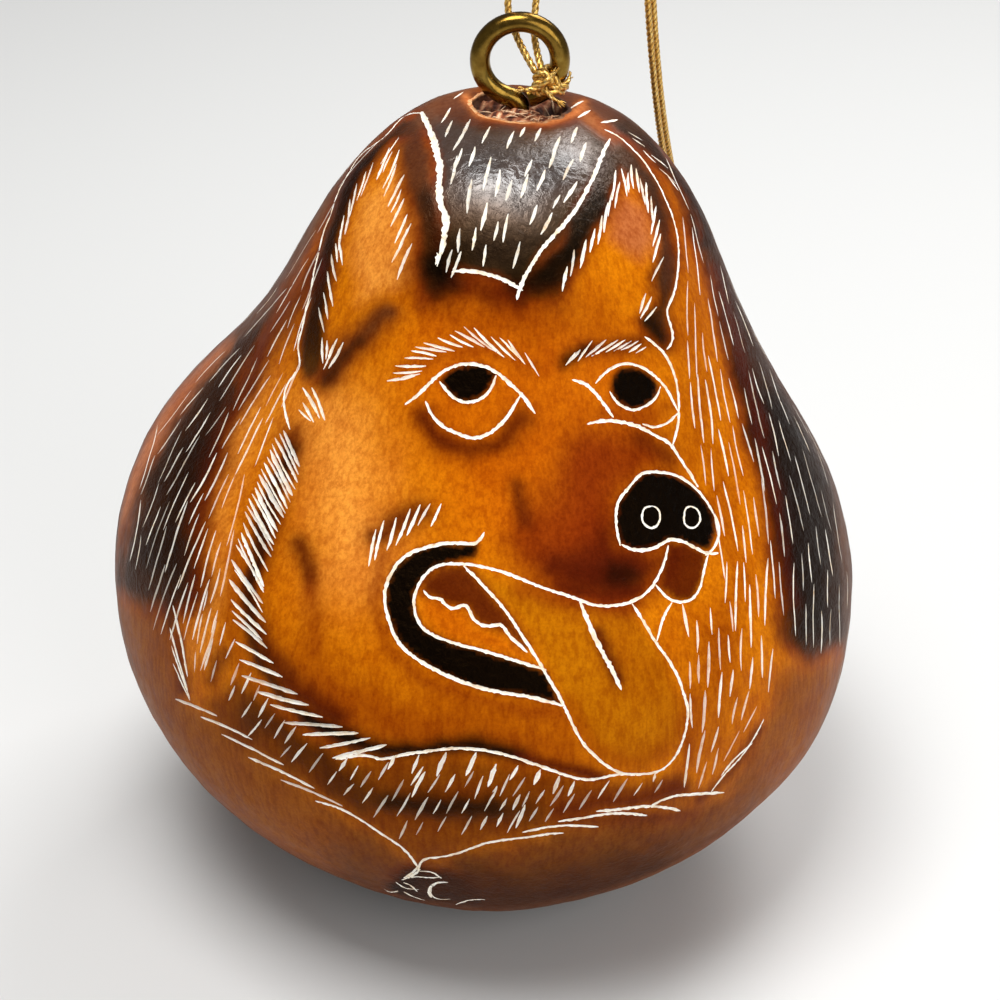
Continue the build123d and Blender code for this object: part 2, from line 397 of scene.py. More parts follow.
CONTOURS = {
    "left ear and cheek": (0.23, [
        (421, 112), (412, 112), (400, 118), (388, 131), (375, 143), (361, 155), (350, 172), (340, 190),
        (331, 214), (325, 228), (320, 247), (316, 264), (312, 288), (307, 308), (302, 330), (298, 348),
        (299, 366), (291, 379), (285, 392), (284, 404), (287, 418), (290, 429)]),
    "forehead left": (0.52, [
        (421, 111), (427, 124), (433, 139), (438, 156), (440, 172), (439, 190), (441, 204), (446, 219),
        (444, 234), (441, 250), (436, 263)]),
    "forehead bottom left": (0.3, [
        (453, 271), (470, 271), (486, 274), (500, 278), (512, 284), (522, 290)]),
    "forehead right": (0.3, [
        (610, 139), (603, 153), (597, 168), (590, 184), (582, 199), (570, 217), (556, 233), (542, 249),
        (531, 266), (523, 281), (517, 299)]),
    "right ear": (0.23, [
        (605, 130), (619, 137), (633, 148), (646, 162), (656, 177), (665, 194), (673, 214), (678, 235),
        (679, 257), (677, 279), (673, 297), (668, 309), (670, 323), (673, 335), (671, 344),
        (667, 349)]),
    "right cheek": (0.23, [
        (645, 337), (655, 344), (665, 355), (672, 369), (677, 388), (679, 410), (678, 427),
        (673, 445)]),
    "right upper lid": (0.21, [
        (596, 383), (604, 374), (616, 366), (631, 364), (645, 369), (657, 378), (667, 390), (674, 403),
        (679, 413)]),
    "right pupil arc": (0.2, [
        (610, 392), (616, 401), (624, 407), (633, 410), (645, 406), (655, 398), (660, 387)]),
    "right lower lid": (0.2, [(679, 412), (670, 421), (656, 427), (643, 424)]),
    "right eye corner": (0.24, [(573, 380), (585, 384), (596, 394), (604, 404), (613, 417)]),
    "bridge of the muzzle": (0.26, [
        (588, 424), (602, 421), (621, 422), (637, 426), (653, 434), (670, 444), (681, 458), (691, 473),
        (699, 486)]),
    "nose top": (0.23, [
        (620, 545), (617, 530), (616, 513), (619, 500), (629, 487), (642, 474), (658, 472), (676, 475),
        (692, 484), (704, 496), (713, 510), (719, 526), (718, 540), (711, 551), (706, 555)]),
    "nose bottom": (0.26, [
        (622, 545), (631, 549), (645, 550), (658, 546), (669, 540), (681, 541), (694, 547), (708, 553),
        (718, 553)]),
    "left nostril": (0.18, [
        (652, 506), (658, 509), (660, 517), (658, 524), (651, 528), (644, 524), (642, 516), (645, 508),
        (652, 506)]),
    "right nostril": (0.18, [
        (691, 506), (698, 509), (701, 517), (698, 525), (691, 528), (685, 523), (685, 514), (687, 508),
        (692, 506)]),
    "upper lip": (0.23, [
        (668, 546), (665, 559), (659, 575), (651, 588), (639, 598), (623, 604), (606, 606), (590, 604),
        (574, 598), (556, 592), (531, 583), (503, 572), (484, 567), (464, 564), (447, 564), (433, 568),
        (422, 579), (415, 594), (415, 612), (424, 629), (440, 638), (461, 645), (487, 652), (516, 661),
        (546, 670)]),
    "right lip": (0.21, [
        (709, 553), (705, 566), (702, 580), (698, 592), (690, 600), (679, 602), (667, 597),
        (656, 585)]),
    "chin": (0.23, [(672, 603), (664, 617), (660, 630), (657, 641)]),
    "mouth": (0.27, [
        (484, 533), (477, 542), (456, 543), (437, 545), (418, 550), (403, 558), (393, 570), (386, 586),
        (385, 604), (390, 624), (398, 641), (413, 656), (432, 668), (456, 679), (478, 687), (505, 693),
        (534, 698), (563, 706)]),
    "teeth": (0.24, [
        (424, 591), (430, 597), (440, 599), (446, 605), (456, 608), (465, 605), (470, 612), (478, 623),
        (490, 626), (501, 625), (508, 634), (516, 642), (527, 652)]),
    "tongue": (0.23, [
        (464, 566), (476, 578), (494, 597), (510, 617), (523, 637), (535, 655), (546, 674), (558, 694),
        (568, 714), (581, 740), (597, 758), (617, 771), (640, 774), (661, 770), (676, 756), (685, 735),
        (688, 711), (683, 690), (672, 665), (657, 644), (645, 624), (632, 604)]),
    "tongue groove": (0.35, [(580, 602), (590, 627), (600, 648), (611, 668), (621, 689)]),
    "left upper lid": (0.26, [
        (406, 404), (419, 394), (431, 382), (446, 370), (464, 364), (482, 366), (496, 372), (508, 382),
        (520, 393), (528, 403), (535, 413)]),
    "left pupil arc": (0.23, [
        (440, 382), (448, 392), (458, 400), (470, 402), (482, 398), (491, 388), (496, 376)]),
    "left lower lid": (0.26, [
        (426, 402), (432, 415), (444, 427), (459, 434), (473, 438), (488, 434), (501, 424), (512, 410),
        (520, 396)]),
    "jaw": (0.24, [
        (336, 759), (350, 757), (363, 755), (380, 759), (400, 755), (422, 752), (446, 749), (471, 749),
        (497, 753), (522, 760), (546, 768), (570, 776), (592, 779), (617, 774), (640, 775)]),
    "collar left long": (0.24, [
        (316, 801), (338, 808), (364, 822), (390, 839), (408, 853), (418, 867)]),
    "collar right long": (0.24, [
        (418, 870), (421, 862), (436, 858), (469, 850), (490, 843), (515, 839), (540, 835),
        (563, 833)]),
    "collar right third": (0.23, [(523, 832), (548, 827), (570, 825), (598, 827)]),
    "collar right fourth": (0.27, [(559, 821), (592, 816), (622, 813), (646, 815)]),
    "collar right fifth": (0.3, [(597, 811), (620, 809), (652, 806), (680, 811)]),
    "collar right sixth": (0.26, [(650, 806), (664, 799), (690, 795), (724, 793)]),
    "collar end low": (0.21, [(712, 792), (724, 776), (742, 756), (764, 720)]),
    "collar end high": (0.21, [(722, 776), (735, 759), (752, 744)]),
    "tie top": (0.2, [(403, 880), (414, 877), (428, 878), (441, 878)]),
    "tie bow left": (0.2, [(402, 880), (412, 876), (420, 869)]),
    "tie bow right": (0.2, [(420, 871), (432, 873), (441, 879)]),
    "tie knot": (0.23, [(404, 883), (412, 887), (417, 892)]),
    "tie tail": (0.26, [(447, 883), (432, 886), (429, 892), (431, 898)]),
    "tie low left": (0.23, [(404, 892), (413, 897), (424, 901)]),
    "tie low right": (0.23, [(456, 905), (468, 901), (484, 900)]),
    "tie far left": (0.2, [(384, 890), (391, 893), (398, 891)]),
    "tie cross": (0.24, [(418, 866), (412, 873), (404, 878)]),
    "tie foot": (0.22, [(432, 886), (430, 894), (436, 899), (450, 900)]),
    "tie strand": (0.2, [(396, 882), (405, 888), (418, 890)]),
}

# Short cuts in rows: greatest width in millimetres, then each cut's start and end in pixels

CUTS = {
    "left ear far row": (0.27, [
        (373, 163, 361, 196), (357, 184, 349, 218), (350, 200, 345, 234), (344, 216, 339, 250),
        (339, 240, 343, 265), (332, 255, 337, 281), (328, 272, 333, 306), (324, 293, 328, 319),
        (319, 308, 324, 332), (366, 172, 357, 200), (336, 244, 338, 262)]),
    "left ear near row": (0.27, [
        (398, 137, 381, 164), (389, 148, 377, 179), (399, 150, 383, 188), (396, 164, 384, 196),
        (404, 175, 388, 206), (401, 190, 391, 212), (404, 199, 391, 226), (407, 215, 395, 243),
        (411, 224, 399, 248), (404, 240, 392, 262), (412, 244, 397, 279), (392, 152, 383, 172)]),
    "left ear tip": (0.28, [
        (322, 338, 323, 363), (327, 341, 326, 359), (337, 339, 324, 369), (343, 343, 329, 368),
        (333, 345, 328, 360)]),
    "cheek tuft": (0.28, [
        (303, 388, 320, 418), (312, 388, 325, 420), (303, 403, 314, 422), (299, 410, 311, 421),
        (308, 398, 318, 414)]),
    "right ear near row": (0.25, [
        (616, 170, 612, 200), (612, 192, 608, 216), (608, 203, 604, 232), (602, 216, 598, 244),
        (595, 229, 590, 252), (586, 240, 580, 268), (574, 250, 570, 276), (567, 267, 562, 291),
        (620, 182, 615, 208)]),
    "right ear top": (0.28, [
        (622, 168, 627, 196), (629, 172, 629, 192), (632, 164, 634, 188), (637, 168, 640, 192),
        (641, 178, 646, 204), (647, 182, 649, 212), (652, 196, 653, 222)]),
    "right ear far row": (0.23, [
        (657, 206, 651, 234), (660, 220, 653, 246), (661, 234, 653, 262), (664, 257, 652, 281),
        (646, 294, 640, 313), (652, 297, 641, 318), (657, 307, 645, 321)]),
    "forehead hair": (0.28, [
        (450, 107, 441, 121), (463, 92, 454, 98), (470, 118, 453, 150), (452, 120, 445, 136),
        (490, 126, 482, 143), (514, 131, 507, 148), (525, 127, 520, 136), (541, 128, 535, 141),
        (560, 137, 552, 158), (577, 128, 571, 143), (583, 101, 571, 107), (590, 111, 578, 118),
        (617, 120, 601, 123), (457, 156, 451, 184), (462, 148, 453, 172), (475, 147, 469, 166),
        (491, 157, 483, 190), (472, 180, 467, 213), (487, 203, 481, 230), (460, 229, 458, 252),
        (452, 250, 446, 272), (461, 252, 451, 277), (442, 238, 437, 266), (532, 160, 525, 176),
        (528, 174, 521, 197), (573, 160, 563, 180), (577, 182, 564, 202), (508, 214, 503, 242),
        (520, 242, 513, 268), (552, 213, 541, 234), (586, 143, 580, 162), (500, 170, 495, 196),
        (545, 170, 537, 190), (556, 150, 549, 168), (486, 245, 483, 266), (498, 222, 494, 240),
        (512, 180, 506, 200), (537, 205, 530, 224), (560, 195, 553, 208), (476, 228, 472, 250)]),
    "crown wisps": (0.19, [
        (628, 132, 642, 140), (644, 150, 656, 162), (652, 155, 668, 168), (660, 168, 676, 184),
        (633, 138, 645, 146), (668, 176, 678, 190)]),
    "left brow": (0.2, [
        (388, 381, 415, 376), (394, 373, 422, 371), (396, 366, 426, 366), (405, 358, 433, 359),
        (412, 351, 436, 356), (416, 347, 446, 352), (424, 343, 454, 351), (438, 338, 462, 347),
        (450, 335, 473, 347), (455, 331, 484, 347), (464, 327, 496, 352), (474, 328, 504, 357),
        (491, 337, 515, 360), (508, 340, 525, 364), (525, 353, 539, 376), (400, 378, 420, 374),
        (500, 338, 519, 358)]),
    "right brow": (0.2, [
        (566, 365, 575, 353), (578, 361, 592, 341), (586, 357, 606, 340), (592, 356, 612, 343),
        (600, 352, 618, 340), (606, 352, 625, 340), (614, 351, 631, 341), (621, 350, 638, 341),
        (629, 352, 641, 344), (636, 353, 646, 347), (572, 360, 580, 350)]),
    "cheek whiskers": (0.23, [
        (376, 530, 369, 566), (384, 521, 375, 560), (396, 518, 387, 550), (410, 509, 396, 545),
        (420, 505, 407, 535), (430, 504, 418, 525), (441, 504, 431, 526)]),
    "jaw ruff": (0.31, [
        (284, 431, 299, 466), (275, 438, 297, 482), (270, 450, 292, 495), (264, 463, 287, 508),
        (259, 475, 283, 517), (255, 488, 277, 531), (249, 499, 273, 544), (245, 512, 270, 556),
        (241, 533, 263, 586), (236, 545, 263, 592), (231, 560, 262, 603), (229, 580, 265, 622),
        (231, 600, 266, 634), (233, 620, 267, 648), (236, 642, 273, 663), (240, 660, 282, 677),
        (242, 676, 297, 694), (257, 692, 308, 705), (270, 705, 322, 717), (284, 723, 342, 727),
        (303, 735, 358, 733), (320, 748, 370, 738), (333, 758, 386, 745)]),
    "jaw ruff between": (0.2, [
        (280, 434, 298, 474), (272, 444, 295, 489), (267, 457, 290, 502), (261, 469, 285, 513),
        (257, 482, 280, 524), (252, 494, 275, 538), (247, 506, 272, 550), (243, 523, 267, 571),
        (238, 539, 263, 589), (234, 570, 262, 612), (232, 611, 262, 640)]),
    "collar left": (0.27, [
        (173, 606, 188, 676), (170, 628, 188, 690), (172, 646, 190, 698), (174, 664, 190, 700),
        (176, 699, 216, 716), (201, 717, 251, 740), (221, 735, 283, 765), (248, 758, 314, 788),
        (281, 780, 342, 806)]),
    "under the jaw": (0.34, [
        (395, 756, 388, 769), (419, 755, 412, 773), (446, 753, 437, 776), (476, 753, 466, 776),
        (496, 765, 488, 787), (518, 766, 510, 780), (540, 770, 534, 784), (559, 776, 553, 793),
        (574, 781, 568, 795), (655, 773, 653, 781), (497, 787, 491, 800), (520, 795, 513, 810),
        (525, 805, 516, 828), (425, 772, 412, 797)]),
}

# Fur in fields: widths and lengths in millimetres, spacing across the flow in pixels, then guide
# lines in pixels from the field's one side to the other, each running with the fur

FUR_FIELDS = {
    "left mantle": (0.2, (2.6, 5.8), 6.6, [
        [(365, 156), (330, 201), (297, 256), (262, 307), (224, 352), (190, 388), (160, 428), (140, 474),
         (130, 540)],
        [(345, 187), (322, 226), (291, 286), (256, 341), (216, 400), (181, 452), (152, 511),
         (139, 562)],
        [(330, 217), (312, 263), (286, 321), (255, 376), (220, 436), (190, 491), (168, 546),
         (155, 592)],
        [(316, 272), (300, 312), (280, 361), (255, 411), (228, 461), (205, 511), (186, 561),
         (170, 610)],
        [(303, 322), (294, 348), (277, 396), (255, 441), (235, 491), (220, 541), (206, 591),
         (196, 630)],
        [(295, 374), (280, 411), (262, 447), (246, 490), (234, 530), (222, 590), (208, 650)],
    ]),
    "left throat": (0.22, (1.6, 2.6), 11.0, [
        [(205, 600), (198, 636), (195, 662)],
        [(218, 622), (212, 646), (207, 668)],
        [(232, 652), (226, 666), (220, 680)],
    ]),
    "under ruff": (0.21, (1.2, 2.0), 11.0, [
        [(238, 660), (232, 674), (226, 686)],
        [(250, 684), (243, 698), (237, 708)],
        [(268, 706), (260, 720), (253, 730)],
        [(296, 734), (289, 744), (283, 751)],
        [(322, 758), (315, 767), (310, 773)],
    ]),
    "right mantle": (0.2, (2.8, 5.8), 7.0, [
        [(681, 205), (683, 250), (685, 300), (686, 350), (692, 410), (700, 460), (708, 510), (716, 560),
         (716, 600)],
        [(678, 184), (698, 246), (707, 310), (716, 380), (727, 440), (737, 500), (745, 560),
         (746, 610)],
        [(668, 160), (702, 216), (722, 291), (741, 361), (759, 431), (775, 501), (785, 561),
         (788, 620)],
        [(658, 146), (707, 206), (736, 281), (763, 351), (785, 411), (805, 471), (818, 531), (822, 590),
         (820, 640)],
        [(650, 134), (704, 196), (745, 288), (777, 358), (802, 412), (824, 462), (839, 520), (846, 580),
         (846, 625)],
    ]),
    "right throat": (0.24, (2.0, 3.6), 9.0, [
        [(680, 620), (689, 690), (688, 740), (684, 785)],
        [(712, 610), (712, 690), (706, 740), (696, 785)],
        [(742, 620), (742, 690), (731, 735), (714, 775)],
        [(775, 640), (770, 680), (760, 705), (750, 722)],
    ]),
    "neck band": (0.23, (1.1, 2.1), 12.5, [
        [(340, 764), (335, 772), (331, 778)],
        [(365, 768), (356, 782), (349, 790)],
        [(430, 778), (414, 806), (402, 832)],
        [(470, 780), (454, 812), (440, 836)],
        [(520, 786), (508, 808), (498, 826)],
        [(600, 786), (592, 798), (585, 808)],
        [(662, 782), (657, 790), (652, 797)],
    ]),
}
FUR_TRIES = 7000
FUR_ROOM = 0.54
FUR_SWAY_DEG = 2.2
FUR_BOW = 0.02
FLOW_STEP = 0.5
FLOW_COUNT = 80
FLOW_REACH = 3

# Fur round the back: rise and turn in degrees, lengths, spacing and width in millimetres
BACK_TRIES = 5000
BACK_RISE_DEG = (-6, 66)
BACK_TURN_DEG = (-30, 210)
BACK_LENGTH = (2.8, 5.6)
BACK_SLANT = 0.08
BACK_POINTS = 5
BACK_SPACING_ASIDE = 1.5
BACK_WIDTH = 0.24
BACK_FACING = 0.1

# Named colours, as seen

COLOURS = {
    "honey": (220, 128, 7),
    "glow": (250, 166, 66),
    "orange": (208, 106, 6),
    "amber": (156, 68, 3),
    "rust": (136, 46, 6),
    "oxblood": (84, 22, 5),
    "gold": (190, 113, 4),
    "maroon": (86, 22, 3),
    "russet": (128, 64, 6),
    "flame": (232, 146, 84),
    "clay": (188, 108, 64),
    "tan": (152, 86, 22),
    "umber": (66, 30, 4),
    "bark": (86, 46, 26),
    "cocoa": (124, 82, 56),
    "mantle": (34, 20, 14),
    "soot": (5, 3, 2),
    "slate": (62, 60, 61),
    "blush": (214, 134, 88),
}
BURNT = {"soot", "mantle", "slate", "bark", "oxblood"}
SCORCH = "rust"
SCORCH_SHARE = 0.55

# Paint in pixels, in the order it is laid: colour, strength, softness, outline

PATCHES = {
    "face warm": ("orange", 0.8, 40, [
        (420, 300), (560, 320), (640, 330), (660, 430), (560, 560), (480, 540), (430, 460),
        (400, 380)]),
    "jaw": ("amber", 0.85, 45, [
        (300, 640), (400, 690), (560, 720), (600, 780), (480, 750), (380, 745), (290, 700)]),
    "lower body": ("tan", 0.95, 14, [
        (60, 600), (170, 606), (188, 700), (250, 742), (316, 796), (390, 842), (420, 868), (470, 852),
        (535, 838), (600, 818), (660, 808), (724, 795), (765, 722), (790, 668), (920, 640), (900, 960),
        (60, 960)]),
    # Mostly painted shade: the body darkens towards its base
    "lower body painted shade": ("umber", 0.75, 50, [
        (340, 850), (420, 872), (540, 846), (660, 822), (760, 800), (700, 960), (300, 960)]),
    "neck band": ("russet", 0.9, 10, [
        (240, 680), (290, 728), (350, 762), (450, 756), (520, 768), (590, 782), (680, 776), (700, 795),
        (600, 815), (520, 836), (420, 862), (330, 800), (220, 735), (205, 700)]),
    "left mantle": ("mantle", 0.93, 13, [
        (352, 172), (306, 226), (262, 286), (226, 338), (190, 386), (160, 434), (138, 492), (120, 540),
        (112, 586), (140, 604), (182, 612), (206, 600), (196, 560), (198, 540), (210, 486), (232, 432),
        (250, 372), (268, 334), (290, 276), (312, 232)]),
    "left mantle core": ("soot", 0.6, 18, [
        (226, 372), (196, 420), (160, 480), (134, 560), (180, 590), (190, 540), (206, 480),
        (228, 430)]),
    "left edge": ("cocoa", 0.85, 9, [
        (385, 120), (340, 165), (296, 235), (262, 290), (222, 335), (218, 352), (268, 312), (300, 262),
        (330, 212), (372, 155)]),
    "left rim": ("blush", 0.7, 8, [
        (236, 322), (190, 362), (160, 402), (132, 452), (110, 520), (124, 520), (146, 466), (172, 420),
        (204, 378), (228, 350)]),
    "ear rim left": ("soot", 0.94, 6, [
        (421, 113), (400, 118), (382, 138), (359, 160), (340, 192), (326, 228), (316, 264), (309, 303),
        (301, 337), (299, 366), (306, 380), (322, 372), (326, 345), (324, 322), (331, 285), (340, 240),
        (350, 205), (366, 174), (392, 140), (416, 134)]),
    "inner ear left": ("glow", 0.95, 15, [
        (392, 170), (410, 220), (404, 280), (360, 300), (350, 260), (366, 200)]),
    "crown": ("bark", 0.85, 13, [
        (396, 132), (420, 106), (450, 90), (520, 80), (590, 90), (630, 108), (648, 134), (604, 128),
        (560, 126), (500, 128), (440, 126)]),
    "beside forehead": ("bark", 0.95, 12, [
        (418, 120), (432, 150), (440, 200), (440, 260), (450, 290), (425, 300), (414, 270), (416, 220),
        (404, 180), (396, 150), (405, 128)]),
    "forehead": ("slate", 0.95, 8, [
        (421, 106), (434, 140), (440, 172), (440, 195), (446, 220), (440, 262), (470, 272), (500, 278),
        (522, 291), (542, 250), (571, 216), (591, 184), (604, 152), (612, 134), (590, 122), (560, 126),
        (520, 129), (470, 122)]),
    "forehead dark": ("soot", 0.8, 20, [
        (442, 236), (470, 226), (520, 226), (566, 214), (584, 204), (556, 240), (522, 292), (490, 276),
        (446, 268)]),
    "ear right": ("mantle", 0.9, 8, [
        (612, 136), (636, 150), (656, 178), (672, 214), (679, 257), (673, 298), (668, 310), (673, 336),
        (667, 350), (650, 336), (640, 322), (656, 304), (652, 276), (659, 240), (652, 206), (636, 178),
        (620, 168), (604, 216), (584, 250), (566, 286), (552, 288), (570, 222), (594, 188)]),
    "ear right grey": ("slate", 0.3, 12, [
        (612, 145), (640, 165), (664, 210), (672, 260), (660, 290), (662, 240), (640, 185), (618, 165),
        (600, 190)]),
    "inner ear right": ("clay", 0.85, 13, [
        (624, 196), (648, 214), (652, 246), (636, 258), (614, 238), (612, 212)]),
    "muzzle": ("rust", 0.85, 26, [
        (590, 430), (645, 434), (680, 462), (650, 474), (620, 500), (620, 545), (664, 552), (656, 580),
        (636, 600), (604, 604), (560, 590), (510, 572), (500, 540), (540, 500), (556, 462)]),
    "muzzle deep": ("oxblood", 0.92, 20, [
        (560, 560), (600, 520), (618, 520), (625, 550), (662, 556), (650, 586), (620, 602),
        (586, 598)]),
    "tongue": ("gold", 0.9, 10, [
        (480, 575), (580, 604), (632, 606), (660, 650), (684, 700), (680, 745), (640, 770), (600, 752),
        (566, 706), (530, 640)]),
    "right mantle": ("mantle", 0.95, 12, [
        (612, 108), (640, 122), (700, 190), (735, 260), (770, 335), (806, 405), (850, 480), (870, 560),
        (862, 640), (806, 658), (784, 640), (776, 580), (766, 520), (752, 460), (738, 400), (724, 340),
        (712, 290), (700, 240), (676, 180), (644, 146)]),
    "right mantle core": ("soot", 0.8, 14, [
        (742, 370), (790, 400), (826, 480), (836, 560), (826, 640), (800, 645), (784, 570), (768, 490),
        (752, 420)]),
    "right rim": ("cocoa", 0.75, 7, [
        (836, 480), (850, 520), (862, 580), (862, 660), (846, 655), (846, 590), (838, 530)]),
    "tie": ("soot", 0.95, 8, [
        (386, 886), (402, 872), (420, 864), (446, 874), (476, 888), (482, 906), (400, 906)]),
}

# Crisp paint that goes over the smudges, in the same form

INKED = {
    "chin": ("maroon", 0.95, 5, [
        (668, 545), (682, 542), (708, 554), (703, 578), (694, 598), (676, 600), (660, 586)]),
    "mouth inside": ("oxblood", 0.9, 7, [
        (424, 580), (440, 566), (468, 566), (500, 604), (528, 645), (520, 648), (506, 630), (480, 624),
        (466, 606), (446, 604), (424, 590)]),
    "mouth floor": ("orange", 0.8, 8, [
        (424, 596), (446, 608), (466, 612), (480, 630), (506, 638), (534, 660), (480, 648), (436, 634),
        (420, 614)]),
    "lips": ("soot", 1.0, 3, [
        (478, 543), (437, 545), (418, 550), (403, 558), (393, 570), (386, 586), (385, 604), (390, 624),
        (398, 641), (413, 656), (432, 668), (456, 679), (478, 687), (505, 693), (534, 698), (560, 705),
        (546, 672), (516, 661), (487, 652), (461, 645), (440, 638), (424, 629), (415, 612), (415, 594),
        (422, 579), (433, 568), (450, 562), (476, 556)]),
    "nose": ("soot", 1.0, 3, [
        (618, 502), (629, 487), (642, 474), (658, 472), (676, 475), (692, 484), (704, 496), (713, 510),
        (717, 530), (710, 549), (694, 547), (681, 541), (669, 540), (658, 546), (645, 550), (631, 549),
        (620, 542), (616, 520)]),
    "left pupil": ("soot", 1.0, 3, [
        (442, 380), (452, 370), (465, 365), (482, 366), (496, 373), (490, 388), (482, 398), (470, 402),
        (458, 400), (448, 392)]),
    "right pupil": ("soot", 1.0, 3, [
        (611, 388), (613, 376), (621, 368), (634, 366), (647, 371), (658, 384), (655, 397), (645, 406),
        (633, 409), (622, 405), (614, 398)]),
}

# Soft brush strokes in pixels, laid over the patches: colour, strength, radius, line

